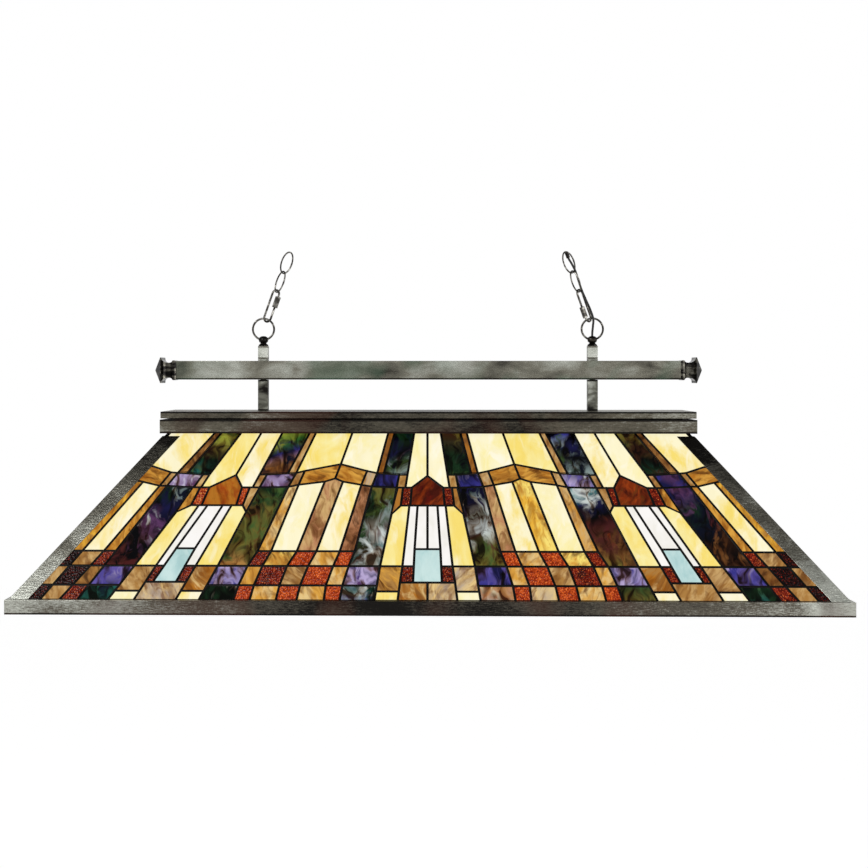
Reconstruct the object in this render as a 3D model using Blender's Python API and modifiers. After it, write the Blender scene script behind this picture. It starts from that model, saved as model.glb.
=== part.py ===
"""Long leaded-glass light for a billiard table, on two short chains.

A mitred steel rim carries four sloping stained-glass panels, covered at the corners by hip angles.
A two-tier ridge closes the top. Two square posts rise from it to a square crossbar with finials,
and each post ends in a loop, a ring, a quick link and chain. Three lamps hang under the ridge.

Units are metres, +Z is up, X runs along the table, and z = 0 is the lower edge of the rim.
"""

import math

import bmesh
import bpy
from mathutils import Matrix, Vector

OBJECT_NAME = "pool_table_lamp"
WELD = 0.00001
GAP = 0.0003

# Rim: steel angle, mitred at the corners
RIM_LENGTH = 1.2192
RIM_DEPTH = 0.508
RIM_HEIGHT = 0.0212
RIM_FLANGE = 0.014
SHEET = 0.0015

# Sloping sides: every side runs in by the same distance, so the corners mitre at 45 degrees in plan
PANEL_INSET = 0.005
PANEL_RUN = 0.1878
PANEL_RISE = 0.2278
HIP_LEG = 0.0232
GLASS_DEPTH_BELOW_HIP = 0.0018
GLASS_THICKNESS = 0.0045
GLASS_FOOT = 0.006
GLASS_LENGTH = 0.3127
GLASS_CORNER_INSET = 0.0053

# Ridge: a lower tray, a spacer and an upper tray
COLLAR_SIZE = (0.840, 0.132)
COLLAR_Z = (0.2534, 0.2749)
SPACER_SIZE = (0.800, 0.100)
SPACER_Z = (0.2752, 0.2857)
CAP_SIZE = (0.838, 0.130)
CAP_Z = (0.2769, 0.2875)

# Hanger: posts, crossbar, stubs and the pipe that clamps them together
POST_X = 0.2643
POST_SIZE = 0.016
POST_WALL = 0.0012
POST_Z = (0.2878, 0.3373)
BAR_SIZE = 0.030
BAR_LENGTH = 0.806
BAR_Z = (0.3376, 0.3676)
WASHER_Z = (0.3679, 0.3706)
STUB_Z = (0.3709, 0.3914)
PIPE_RADIUS = 0.0048
PIPE_BORE = 0.0032
PIPE_Z = (0.259, 0.3943)
PIPE_HOLE = 0.0051
NUT_ACROSS_FLATS = 0.014
PIPE_NUT_Z = (0.2645, 0.2697)

# Finial: half widths of its square section at distances from the end of the crossbar
FINIAL_SECTION = [
    (0.0, 0.0146), (0.002, 0.0156), (0.004, 0.0160), (0.006, 0.0155), (0.0072, 0.0136),
    (0.0095, 0.0124), (0.014, 0.0120), (0.0175, 0.0125), (0.0205, 0.0142), (0.0225, 0.0168),
    (0.0236, 0.0205), (0.0244, 0.0208),
]
FINIAL_LENGTH = 0.0363

# Loop on each stub, and the ring through its ball
LOOP_BASE_Z = 0.3917
BALL_Z = 0.4016
BALL_RADIUS = 0.0083
BALL_HALF_HEIGHT = 0.0063
LOOP_FOOT = [(0.0046, 0.3965), (0.0048, 0.3960), (0.0064, 0.3946), (0.0074, 0.3938), (0.0080, 0.3930)]
LOOP_FOOT_RADIUS = 0.0080
LOOP_BORE = 0.0024
LOOP_BORE_LENGTH = 0.04
LOOP_SOCKET_TOP = 0.3946
RING_HOLE_RADII = (0.00245, 0.0048)
RING_HOLE_LENGTH = 0.0065
RING_RADIUS = 0.0171
RING_WIRE = 0.00165
RING_END_X = 0.004

# Chain: distances along it start at the wire of the ring
CHAIN_LEAN = math.radians(19.3)
QUICK_LINK_WIRE = 0.0017
QUICK_LINK_HALF_WIDTH = 0.0073
QUICK_LINK_SPAN = (-0.0041, 0.0495)
LINK_NUT_LENGTH = 0.0186
LINK_NUT_ACROSS_FLATS = 0.008
LINK_NUT_BORE = 0.00195
CHAIN_WIRE = 0.00125
CHAIN_HALF_WIDTH = 0.00925
CHAIN_SPANS = [(0.04605, 0.08155), (0.07855, 0.11405)]
TWISTS = {-1: (50, -46, 33), 1: (50, -58, 22)}
LINK_NUT_MIDDLE = {-1: 0.0310, 1: 0.0126}
QUICK_LINK_GAP = {-1: (0.0335, 0.0395), 1: (0.005, 0.011)}

# Lamps under the ridge
SOCKET_X = (-0.335, 0.0, 0.335)
SOCKET_BAR_SIZE = (0.720, 0.034)
SOCKET_BAR_Z = (0.2700, 0.2731)
CUP_RADIUS = 0.020
CUP_WALL = 0.0012
CUP_Z = (0.2397, 0.2697)
CORE_RADIUS = 0.017
CORE_BORE = 0.0134
CORE_Z = (0.2195, 0.2680)
CORE_BORE_TOP = 0.252
BASE_RADIUS = 0.013
BASE_Z = (0.2222, 0.2455)
BASE_TIP_Z = 0.2485
BULB_RADIUS = 0.030
BULB_NECK = 0.0127
BULB_NECK_Z = 0.2219
BULB_SHOULDER_Z = 0.2170
BULB_MIDDLE_Z = 0.1685
BULB_WALL = 0.0008

# Wiring
CORD_RADIUS = 0.00175
CORD_START_Z = 0.2525
CORD_CAP_RADIUS = 0.003
CORD_CAP_BORE = 0.0021
CORD_CAP_LENGTH = 0.010
CORD_END = (0.0009, -0.0052, 0.109)
SPLICE_RADIUS = 0.005
SPLICE_Z = (0.236, 0.252)
HARNESS_RADIUS = 0.001
HARNESS_Z = 0.2555
HARNESS_SIDE_Y = 0.026

SIDES = (-1, 1)
SIDE_NAMES = {-1: "left", 1: "right"}
ROUND_STEPS = 20

parts = bpy.data.collections.new(OBJECT_NAME)
cutters = bpy.data.collections.new("cutters")


# Tools for making and joining shapes

def clear_scene():
    for old in list(bpy.data.objects):
        bpy.data.objects.remove(old)
    for collection in (parts, cutters):
        bpy.context.scene.collection.children.link(collection)


def make_material(name, colour, roughness, metallic, transmission=0.0):
    made = bpy.data.materials.new(name)
    made.use_nodes = True
    shader = made.node_tree.nodes["Principled BSDF"]
    shader.inputs["Base Color"].default_value = (*colour, 1.0)
    shader.inputs["Roughness"].default_value = roughness
    shader.inputs["Metallic"].default_value = metallic
    shader.inputs["Transmission Weight"].default_value = transmission
    return made


def add_part(name, data, material, matrix=None):
    """A new object with this mesh or curve, in the parts collection."""
    made = bpy.data.objects.new(name, data)
    made.matrix_world = matrix or Matrix.Identity(4)
    data.materials.append(material)
    parts.objects.link(made)
    return made


def hold(child, parent):
    """Parents child where it stands."""
    bpy.context.view_layer.update()
    child.parent = parent
    child.matrix_parent_inverse = parent.matrix_world.inverted()
    return child


def axes_matrix(x, y, z, origin):
    """The frame with these axes and origin."""
    made = Matrix((x, y, z)).transposed().to_4x4()
    made.translation = origin
    return made


def as_mesh(curve):
    """The curve's shape as a welded mesh object of the same name and place."""
    bpy.context.view_layer.update()
    name, material = curve.name, curve.data.materials[0]
    matrix = curve.matrix_world.copy()
    evaluated = curve.evaluated_get(bpy.context.evaluated_depsgraph_get())
    mesh = bpy.data.meshes.new_from_object(evaluated)
    welded = bmesh.new()
    welded.from_mesh(mesh)
    bmesh.ops.remove_doubles(welded, verts=welded.verts, dist=WELD)
    welded.to_mesh(mesh)
    welded.free()
    bpy.data.objects.remove(curve)
    mesh.materials.clear()
    return add_part(name, mesh, material, matrix)


def prism(name, outlines, thickness, material, matrix=None):
    """Flat outlines in the local XY plane, the later ones as holes, given a thickness along Z."""
    flat = bpy.data.curves.new(name, "CURVE")
    flat.dimensions = "2D"
    flat.fill_mode = "BOTH"
    flat.extrude = thickness / 2
    for outline in outlines:
        spline = flat.splines.new("POLY")
        spline.points.add(len(outline) - 1)
        spline.use_cyclic_u = True
        for point, (x, y) in zip(spline.points, outline):
            point.co = (x, y, 0, 1)
    return as_mesh(add_part(name, flat, material, matrix))


def rectangle(size_x, size_y):
    return [(sx * size_x / 2, sy * size_y / 2) for sx, sy in ((-1, -1), (1, -1), (1, 1), (-1, 1))]


def polygon(radius, sides):
    turns = [math.tau * (i + 0.5) / sides for i in range(sides)]
    return [(radius * math.cos(a), radius * math.sin(a)) for a in turns]


def hexagon(across_flats):
    return polygon(across_flats / 2 / math.cos(math.pi / 6), 6)


def upright(x, z_range):
    """The frame of an upright prism between two heights."""
    return Matrix.Translation((x, 0, sum(z_range) / 2))


def height(z_range):
    return z_range[1] - z_range[0]


def turned(name, profile, material, matrix=None, steps=ROUND_STEPS, closed=False):
    """A profile of (radius, height) pairs, from the top down its outer side, turned about Z."""
    mesh = bpy.data.meshes.new(name)
    last = len(profile) - 1
    edges = [(i, i + 1) for i in range(last)] + ([(last, 0)] if closed else [])
    mesh.from_pydata([(r, 0, z) for r, z in profile], edges, [])
    made = add_part(name, mesh, material, matrix)
    screw = made.modifiers.new("turn", "SCREW")
    screw.steps = screw.render_steps = steps
    screw.use_merge_vertices = True
    screw.merge_threshold = WELD
    screw.use_smooth_shade = True
    return made


def thicken(shell, wall):
    """Gives an open surface a wall on its inner side."""
    solidify = shell.modifiers.new("wall", "SOLIDIFY")
    solidify.thickness = wall
    solidify.offset = -1
    solidify.use_even_offset = True


def wire(name, points, radius, material, matrix=None, closed=False):
    """A round wire along these points."""
    line = bpy.data.curves.new(name, "CURVE")
    line.dimensions = "3D"
    line.bevel_depth = radius
    line.bevel_resolution = 2
    line.use_fill_caps = True
    spline = line.splines.new("POLY")
    spline.points.add(len(points) - 1)
    spline.use_cyclic_u = closed
    for point, place in zip(spline.points, points):
        point.co = (*place, 1)
    return add_part(name, line, material, matrix)


def cut_off(solid, point, normal):
    """Removes what lies beyond a plane, given in world space, and closes the cut."""
    bpy.context.view_layer.update()
    inverse = solid.matrix_world.inverted()
    body = bmesh.new()
    body.from_mesh(solid.data)
    everything = body.verts[:] + body.edges[:] + body.faces[:]
    local_normal = (inverse.to_3x3() @ Vector(normal)).normalized()
    cut = bmesh.ops.bisect_plane(
        body, geom=everything, plane_co=inverse @ Vector(point), plane_no=local_normal, clear_outer=True
    )
    edges = [item for item in cut["geom_cut"] if isinstance(item, bmesh.types.BMEdge)]
    bmesh.ops.triangle_fill(body, edges=edges, use_beauty=True)
    bmesh.ops.recalc_face_normals(body, faces=body.faces)
    body.to_mesh(solid.data)
    body.free()


def cutter(name, end_radii, length, matrix, steps=ROUND_STEPS):
    """A round or conical cutter along its local Z."""
    mesh = bpy.data.meshes.new(name)
    body = bmesh.new()
    bmesh.ops.create_cone(
        body, cap_ends=True, segments=steps, radius1=end_radii[0], radius2=end_radii[1], depth=length
    )
    body.to_mesh(mesh)
    body.free()
    made = bpy.data.objects.new(name, mesh)
    made.matrix_world = matrix
    made.hide_render = True
    made.display_type = "WIRE"
    cutters.objects.link(made)
    return made


def cut(solid, tool):
    difference = solid.modifiers.new(tool.name, "BOOLEAN")
    difference.operation = "DIFFERENCE"
    difference.object = tool


def drill_pipe_holes(solid, xs, z_range):
    """Vertical holes for the threaded pipes."""
    for x in xs:
        tool = cutter(
            f"{solid.name}_hole", (PIPE_HOLE, PIPE_HOLE), height(z_range) + 0.004, upright(x, z_range)
        )
        cut(solid, tool)


def smooth_curve(points, spacing):
    """Points about this far apart on a smooth curve through the given ones."""
    guides = [Vector(p) for p in points]
    ends = [2 * guides[0] - guides[1]] + guides + [2 * guides[-1] - guides[-2]]
    found = []
    for a, b, c, d in zip(ends, ends[1:], ends[2:], ends[3:]):
        steps = max(1, round((c - b).length / spacing))
        for i in range(steps):
            t = i / steps
            bend = (2 * a - 5 * b + 4 * c - d) * t + (3 * b - a - 3 * c + d) * t**2
            found.append(b + (c - a + bend) * t / 2)
    return found + [guides[-1]]


clear_scene()
bronze = make_material("aged_bronze", (0.16, 0.145, 0.12), 0.45, 0.9)
steel = make_material("plated_steel", (0.30, 0.29, 0.27), 0.35, 1.0)
glass = make_material("opalescent_glass", (0.85, 0.70, 0.38), 0.2, 0.0, 0.3)
bulb_glass = make_material("frosted_bulb", (0.95, 0.93, 0.88), 0.35, 0.0, 0.6)
brass = make_material("brass", (0.70, 0.52, 0.25), 0.3, 1.0)
phenolic = make_material("phenolic", (0.03, 0.03, 0.03), 0.5, 0.0)
cord_cover = make_material("cord_cover", (0.05, 0.04, 0.035), 0.55, 0.0)

lamp = bpy.data.objects.new("lamp", None)
parts.objects.link(lamp)

# Each side of the shade: turn about Z, half the rim across it and half the rim along it
SHADE_SIDES = {
    "front": (0, RIM_DEPTH / 2, RIM_LENGTH / 2),
    "right": (90, RIM_LENGTH / 2, RIM_DEPTH / 2),
    "back": (180, RIM_DEPTH / 2, RIM_LENGTH / 2),
    "left": (270, RIM_LENGTH / 2, RIM_DEPTH / 2),
}
SLOPE_LENGTH = math.hypot(PANEL_RUN, PANEL_RISE)
SLOPE = Vector((0, PANEL_RUN, PANEL_RISE)) / SLOPE_LENGTH
OUTWARD = Vector((0, -PANEL_RISE, PANEL_RUN)) / SLOPE_LENGTH
HIP_TOP_Z = RIM_HEIGHT + PANEL_RISE


# Rim and shade

def make_rim_rail(side):
    """One length of steel angle, web outside and flange on top, with mitred ends."""
    turn, distance, half_length = SHADE_SIDES[side]
    outline = [
        (0, 0), (SHEET, 0), (SHEET, RIM_HEIGHT - SHEET), (RIM_FLANGE, RIM_HEIGHT - SHEET),
        (RIM_FLANGE, RIM_HEIGHT), (0, RIM_HEIGHT),
    ]
    along, inward, up = Vector((1, 0, 0)), Vector((0, 1, 0)), Vector((0, 0, 1))
    spin = Matrix.Rotation(math.radians(turn), 4, "Z")
    matrix = spin @ axes_matrix(inward, up, along, -distance * inward)
    rail = prism(f"rim_{side}", [outline], 2 * half_length, bronze, matrix)
    for end in SIDES:
        corner = Vector((end * half_length, -distance, 0))
        normal = Vector((end, 1, 0)).normalized()
        cut_off(rail, spin @ (corner - normal * GAP / 2), spin.to_3x3() @ normal)
    return hold(rail, lamp)


def make_glass_panel(side):
    """One flat trapezoid of leaded glass, standing on the rim's flange."""
    turn, distance, half_length = SHADE_SIDES[side]
    foot = half_length - PANEL_INSET - GLASS_CORNER_INSET
    lean_in = PANEL_RUN / SLOPE_LENGTH
    low, high = GLASS_FOOT, GLASS_FOOT + GLASS_LENGTH
    wide, narrow = foot - lean_in * low, foot - lean_in * high
    outline = [(-wide, low), (wide, low), (narrow, high), (-narrow, high)]
    middle = Vector((0, PANEL_INSET - distance, RIM_HEIGHT))
    middle -= OUTWARD * (GLASS_DEPTH_BELOW_HIP + GLASS_THICKNESS / 2)
    spin = Matrix.Rotation(math.radians(turn), 4, "Z")
    matrix = spin @ axes_matrix(Vector((1, 0, 0)), SLOPE, OUTWARD, middle)
    return hold(prism(f"glass_{side}", [outline], GLASS_THICKNESS, glass, matrix), lamp)


def make_hip_angle(name, sx, sy):
    """A folded strip over the seam between two panels, cut level at both ends."""
    foot = Vector((sx * (RIM_LENGTH / 2 - PANEL_INSET), sy * (RIM_DEPTH / 2 - PANEL_INSET), RIM_HEIGHT))
    along = Vector((-sx * PANEL_RUN, -sy * PANEL_RUN, PANEL_RISE)).normalized()
    end_normal = Vector((sx * PANEL_RISE, 0, PANEL_RUN)) / SLOPE_LENGTH
    side_normal = Vector((0, sy * PANEL_RISE, PANEL_RUN)) / SLOPE_LENGTH
    outward = (end_normal + side_normal).normalized()
    across = outward.cross(along)
    half_fold = math.pi / 2 - end_normal.angle(outward)
    reach, drop = HIP_LEG * math.sin(half_fold), -HIP_LEG * math.cos(half_fold)
    lip_x, lip_y = SHEET * math.cos(half_fold), SHEET * math.sin(half_fold)
    outline = [
        (-reach, drop), (0, 0), (reach, drop), (reach - lip_x, drop - lip_y),
        (0, -SHEET / math.sin(half_fold)), (lip_x - reach, drop - lip_y),
    ]
    middle = foot + along * PANEL_RISE / along.z / 2
    length = PANEL_RISE / along.z + 4 * HIP_LEG
    hip = prism(name, [outline], length, bronze, axes_matrix(across, outward, along, middle))
    cut_off(hip, (0, 0, RIM_HEIGHT + GAP), (0, 0, -1))
    cut_off(hip, (0, 0, HIP_TOP_Z), (0, 0, 1))
    return hold(hip, lamp)


for shade_side in SHADE_SIDES:
    make_rim_rail(shade_side)
    make_glass_panel(shade_side)
for end in SIDES:
    make_hip_angle(f"hip_angle_front_{SIDE_NAMES[end]}", end, -1)
    make_hip_angle(f"hip_angle_back_{SIDE_NAMES[end]}", end, 1)


# Ridge

def make_tray(name, size, z_range):
    """An open-bottomed sheet-metal tray with holes for the pipes."""
    mesh = bpy.data.meshes.new(name)
    body = bmesh.new()
    bmesh.ops.create_cube(body, size=1, matrix=Matrix.Diagonal((*size, height(z_range), 1)))
    floor = [face for face in body.faces if face.normal.z < -0.5]
    bmesh.ops.delete(body, geom=floor, context="FACES_ONLY")
    body.to_mesh(mesh)
    body.free()
    tray = add_part(name, mesh, bronze, upright(0, z_range))
    thicken(tray, SHEET)
    drill_pipe_holes(tray, (-POST_X, POST_X), (z_range[1] - SHEET, z_range[1]))
    return hold(tray, lamp)


make_tray("ridge_collar", COLLAR_SIZE, COLLAR_Z)
make_tray("ridge_spacer", SPACER_SIZE, SPACER_Z)
make_tray("ridge_cap", CAP_SIZE, CAP_Z)


# Hanger

def make_square_tube(name, size, z_range, x):
    outlines = [rectangle(size, size), rectangle(size - 2 * POST_WALL, size - 2 * POST_WALL)]
    return hold(prism(name, outlines, height(z_range), bronze, upright(x, z_range)), lamp)


def make_crossbar():
    """A horizontal square tube that the pipes pass through."""
    inner = BAR_SIZE - 2 * SHEET
    outlines = [rectangle(BAR_SIZE, BAR_SIZE), rectangle(inner, inner)]
    lying = upright(0, BAR_Z) @ Matrix.Rotation(math.pi / 2, 4, "Y")
    bar = prism("crossbar", outlines, BAR_LENGTH, bronze, lying)
    drill_pipe_holes(bar, (-POST_X, POST_X), BAR_Z)
    return hold(bar, lamp)


def make_finial(side):
    """A square finial with a collar, a cove, a flare and a pyramid tip."""
    corner = math.sqrt(2)
    profile = [(0, FINIAL_LENGTH)] + [(half * corner, d) for d, half in reversed(FINIAL_SECTION)]
    profile.append((0, 0))
    place = Matrix.Translation((side * (BAR_LENGTH / 2 + GAP), 0, sum(BAR_Z) / 2))
    matrix = place @ Matrix.Rotation(side * math.pi / 2, 4, "Y") @ Matrix.Rotation(math.pi / 4, 4, "Z")
    finial = turned(f"finial_{SIDE_NAMES[side]}", profile, bronze, matrix, steps=4)
    finial.modifiers["turn"].use_smooth_shade = False
    return hold(finial, lamp)


def make_loop(side):
    """A ball on a short foot, bored for the pipe and the cord, with flared holes for the ring."""
    ball = []
    for i in range(1, 13):
        angle = math.radians(90 - i * 146 / 12)
        ball.append((BALL_RADIUS * math.cos(angle), BALL_Z + BALL_HALF_HEIGHT * math.sin(angle)))
    profile = [(0, BALL_Z + BALL_HALF_HEIGHT), *ball, *LOOP_FOOT]
    profile += [(LOOP_FOOT_RADIUS, LOOP_BASE_Z), (0, LOOP_BASE_Z)]
    name = f"ball_loop_{SIDE_NAMES[side]}"
    loop = turned(name, profile, bronze, Matrix.Translation((side * POST_X, 0, 0)))
    bore_place = upright(side * POST_X, (LOOP_BASE_Z, BALL_Z))
    bore = cutter(f"{name}_bore", (LOOP_BORE, LOOP_BORE), LOOP_BORE_LENGTH, bore_place)
    socket_height = 2 * (LOOP_SOCKET_TOP - LOOP_BASE_Z)
    socket = cutter(
        f"{name}_socket", (PIPE_HOLE, PIPE_HOLE), socket_height,
        Matrix.Translation((side * POST_X, 0, LOOP_BASE_Z)),
    )
    cut(loop, bore)
    cut(loop, socket)
    start = RING_END_X - RING_WIRE * RING_END_X / RING_RADIUS - GAP
    for end in SIDES:
        place = Matrix.Translation((side * POST_X + end * (start + RING_HOLE_LENGTH / 2), 0, BALL_Z))
        tool = cutter(
            f"{name}_ring_hole", RING_HOLE_RADII, RING_HOLE_LENGTH,
            place @ Matrix.Rotation(end * math.pi / 2, 4, "Y"),
        )
        cut(loop, tool)
    return hold(loop, lamp)


make_crossbar()
for end in SIDES:
    label = SIDE_NAMES[end]
    x = end * POST_X
    make_square_tube(f"post_{label}", POST_SIZE, POST_Z, x)
    make_square_tube(f"stub_{label}", POST_SIZE, STUB_Z, x)
    washer = [rectangle(POST_SIZE, POST_SIZE), polygon(PIPE_HOLE, ROUND_STEPS)]
    hold(prism(f"stub_washer_{label}", washer, height(WASHER_Z), bronze, upright(x, WASHER_Z)), lamp)
    make_finial(end)
    make_loop(end)
    pipe_low, pipe_high = PIPE_Z
    pipe = [(PIPE_RADIUS, pipe_high), (PIPE_RADIUS, pipe_low), (PIPE_BORE, pipe_low), (PIPE_BORE, pipe_high)]
    pipe_place = Matrix.Translation((x, 0, 0))
    hold(turned(f"threaded_pipe_{label}", pipe, steel, pipe_place, closed=True), lamp)
    nut = [hexagon(NUT_ACROSS_FLATS), polygon(PIPE_HOLE, ROUND_STEPS)]
    hold(prism(f"pipe_nut_{label}", nut, height(PIPE_NUT_Z), steel, upright(x, PIPE_NUT_Z)), lamp)


# Rings and chains

def ring_centre(side):
    return Vector((side * POST_X, 0, BALL_Z + RING_RADIUS))


def chain_frame(side, distance, twist):
    """Axes of a link: across it, square to it and along the chain, this far above the ring's wire."""
    lean = -side * CHAIN_LEAN
    along = Vector((math.sin(lean), 0, math.cos(lean)))
    level = Vector((math.cos(lean), 0, -math.sin(lean)))
    across = level * math.cos(math.radians(twist)) + Vector((0, math.sin(math.radians(twist)), 0))
    origin = ring_centre(side) + along * (RING_RADIUS + distance)
    return axes_matrix(across, along.cross(across), along, origin)


def make_ring(side):
    """A round ring, open where its two ends sit in the ball."""
    open_angle = math.asin(RING_END_X / RING_RADIUS)
    count = 36
    points = []
    for i in range(count + 1):
        angle = open_angle + (math.tau - 2 * open_angle) * i / count
        points.append((RING_RADIUS * math.sin(angle), 0, RING_RADIUS * (1 - math.cos(angle))))
    place = Matrix.Translation((side * POST_X, 0, BALL_Z))
    return wire(f"ring_{SIDE_NAMES[side]}", points, RING_WIRE, bronze, place)


def make_quick_link(side):
    """A long link with a gap in one leg. Its origin is the ring's centre."""
    half = QUICK_LINK_HALF_WIDTH
    low, high = QUICK_LINK_SPAN[0] + half, QUICK_LINK_SPAN[1] - half
    gap_low, gap_high = QUICK_LINK_GAP[side]
    nut_leg = -side * half
    turns = [math.pi * i / 8 for i in range(9)]
    top = [(nut_leg * math.cos(a), high + half * math.sin(a)) for a in turns]
    bottom = [(-nut_leg * math.cos(a), low - half * math.sin(a)) for a in turns]
    outline = [(nut_leg, gap_high), *top, *bottom, (nut_leg, gap_low)]
    points = [(u, 0, RING_RADIUS + w) for u, w in outline]
    place = chain_frame(side, -RING_RADIUS, TWISTS[side][0])
    return wire(f"quick_link_{SIDE_NAMES[side]}", points, QUICK_LINK_WIRE, bronze, place)


def make_link_nut(side):
    """The hexagonal sleeve that closes the quick link."""
    outlines = [hexagon(LINK_NUT_ACROSS_FLATS), polygon(LINK_NUT_BORE, 16)]
    leg = Matrix.Translation((-side * QUICK_LINK_HALF_WIDTH, 0, 0))
    place = chain_frame(side, LINK_NUT_MIDDLE[side], TWISTS[side][0]) @ leg
    return prism(f"link_nut_{SIDE_NAMES[side]}", outlines, LINK_NUT_LENGTH, bronze, place)


def make_chain_link(side, number, pivot):
    """An oval link. Its origin is the wire that it hangs on."""
    low, high = CHAIN_SPANS[number]
    count = 28
    points = []
    for i in range(count):
        angle = math.tau * i / count
        along = (low + high) / 2 - pivot + (high - low) / 2 * math.cos(angle)
        points.append((CHAIN_HALF_WIDTH * math.sin(angle), 0, along))
    place = chain_frame(side, pivot, TWISTS[side][number + 1])
    name = f"chain_link_{SIDE_NAMES[side]}_{number + 1}"
    return wire(name, points, CHAIN_WIRE, bronze, place, closed=True)


for end in SIDES:
    ring = hold(make_ring(end), lamp)
    quick_link = hold(make_quick_link(end), ring)
    hold(make_link_nut(end), quick_link)
    lower_link = hold(make_chain_link(end, 0, QUICK_LINK_SPAN[1]), quick_link)
    hold(make_chain_link(end, 1, CHAIN_SPANS[0][1]), lower_link)


# Lamps

def bulb_profile():
    """Outside of a pear-shaped bulb, from its neck to its lowest point."""
    profile = [(BULB_NECK, BULB_NECK_Z)]
    steps = 6
    for i in range(steps):
        t = i / steps
        swell = (1 - math.cos(math.pi * t)) / 2
        radius = BULB_NECK + (BULB_RADIUS - BULB_NECK) * swell
        profile.append((radius, BULB_SHOULDER_Z + (BULB_MIDDLE_Z - BULB_SHOULDER_Z) * t))
    for i in range(steps + 1):
        angle = math.pi / 2 * i / steps
        profile.append((BULB_RADIUS * math.cos(angle), BULB_MIDDLE_Z - BULB_RADIUS * math.sin(angle)))
    profile[-1] = (0, BULB_MIDDLE_Z - BULB_RADIUS)
    return profile


def make_lamp(number, x):
    place = Matrix.Translation((x, 0, 0))
    edge = 0.002
    cup = turned(
        f"socket_cup_{number}",
        [(0, CUP_Z[1]), (CUP_RADIUS - edge, CUP_Z[1]), (CUP_RADIUS, CUP_Z[1] - edge), (CUP_RADIUS, CUP_Z[0])],
        steel, place,
    )
    thicken(cup, CUP_WALL)
    core = turned(
        f"socket_core_{number}",
        [(0, CORE_Z[1]), (CORE_RADIUS, CORE_Z[1]), (CORE_RADIUS, CORE_Z[0]), (CORE_BORE, CORE_Z[0]),
         (CORE_BORE, CORE_BORE_TOP), (0, CORE_BORE_TOP)],
        phenolic, place,
    )
    tip_radius = 0.0045
    base = turned(
        f"bulb_base_{number}",
        [(0, BASE_TIP_Z), (tip_radius, BASE_TIP_Z), (BASE_RADIUS - edge, BASE_Z[1]),
         (BASE_RADIUS, BASE_Z[1] - edge), (BASE_RADIUS, BASE_Z[0]), (0, BASE_Z[0])],
        brass, place,
    )
    bulb = turned(f"bulb_glass_{number}", bulb_profile(), bulb_glass, place)
    thicken(bulb, BULB_WALL)
    hold(cup, lamp)
    hold(core, lamp)
    hold(base, lamp)
    hold(bulb, base)


def make_socket_bar():
    """A flat steel strap that carries the sockets."""
    mesh = bpy.data.meshes.new("socket_bar")
    body = bmesh.new()
    size = Matrix.Diagonal((*SOCKET_BAR_SIZE, height(SOCKET_BAR_Z), 1))
    bmesh.ops.create_cube(body, size=1, matrix=size)
    body.to_mesh(mesh)
    body.free()
    bar = add_part("socket_bar", mesh, steel, upright(0, SOCKET_BAR_Z))
    drill_pipe_holes(bar, (-POST_X, POST_X), SOCKET_BAR_Z)
    return hold(bar, lamp)


make_socket_bar()
for lamp_number, socket_x in enumerate(SOCKET_X, 1):
    make_lamp(lamp_number, socket_x)


# Wiring

def chain_point(level, y, distance):
    """A point beside the right chain: offsets square to it, and the distance along it."""
    return chain_frame(1, distance, 0) @ Vector((level, y, 0))


CORD_ROUTE = [
    (POST_X, 0, CORD_START_Z),
    (POST_X, 0, 0.300),
    (POST_X, 0, 0.350),
    (POST_X, 0, 0.395),
    (POST_X, 0, 0.4115),
    (POST_X + 0.0008, -0.0026, 0.4235),
    (POST_X + 0.0010, -0.0055, 0.4345),
    chain_point(0.0067, -0.0052, 0.0120),
    chain_point(0.0056, -0.0026, 0.0310),
    chain_point(0.0047, -0.0003, 0.0478),
    chain_point(0.0049, -0.0004, 0.0640),
    chain_point(0.0050, -0.0016, 0.0800),
    chain_point(0.0030, -0.0042, 0.0930),
    chain_point(0.0010, -0.0053, 0.1015),
    chain_point(*CORD_END),
]


def make_cord():
    """The supply cord, threaded up through the right post, ball and chain."""
    points = smooth_curve(CORD_ROUTE, 0.004)
    return hold(wire("supply_cord", points, CORD_RADIUS, cord_cover), lamp)


def make_cord_cap():
    """A crimped end cap over the cord's upper end."""
    overlap = 0.006
    bottom, top = -overlap, CORD_CAP_LENGTH - overlap
    edge = 0.0008
    profile = [
        (0, top), (CORD_CAP_RADIUS - edge, top), (CORD_CAP_RADIUS, top - edge), (CORD_CAP_RADIUS, bottom),
        (CORD_CAP_BORE, bottom), (CORD_CAP_BORE, GAP), (0, GAP),
    ]
    route = [Vector(p) for p in CORD_ROUTE[-2:]]
    along = (route[1] - route[0]).normalized()
    matrix = Matrix.Translation(route[1]) @ along.to_track_quat("Z", "Y").to_matrix().to_4x4()
    cap = turned("cord_end_cap", profile, steel, matrix, steps=12)
    return hold(cap, bpy.data.objects["chain_link_right_2"])


def make_splice_cap():
    """The wire connector under the right pipe."""
    edge = 0.001
    profile = [
        (0, SPLICE_Z[1]), (SPLICE_RADIUS, SPLICE_Z[1]), (SPLICE_RADIUS * 0.8, SPLICE_Z[0] + edge),
        (SPLICE_RADIUS * 0.6, SPLICE_Z[0]), (0, SPLICE_Z[0]),
    ]
    return hold(turned("splice_cap", profile, phenolic, Matrix.Translation((POST_X, 0, 0)), steps=12), lamp)


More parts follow.
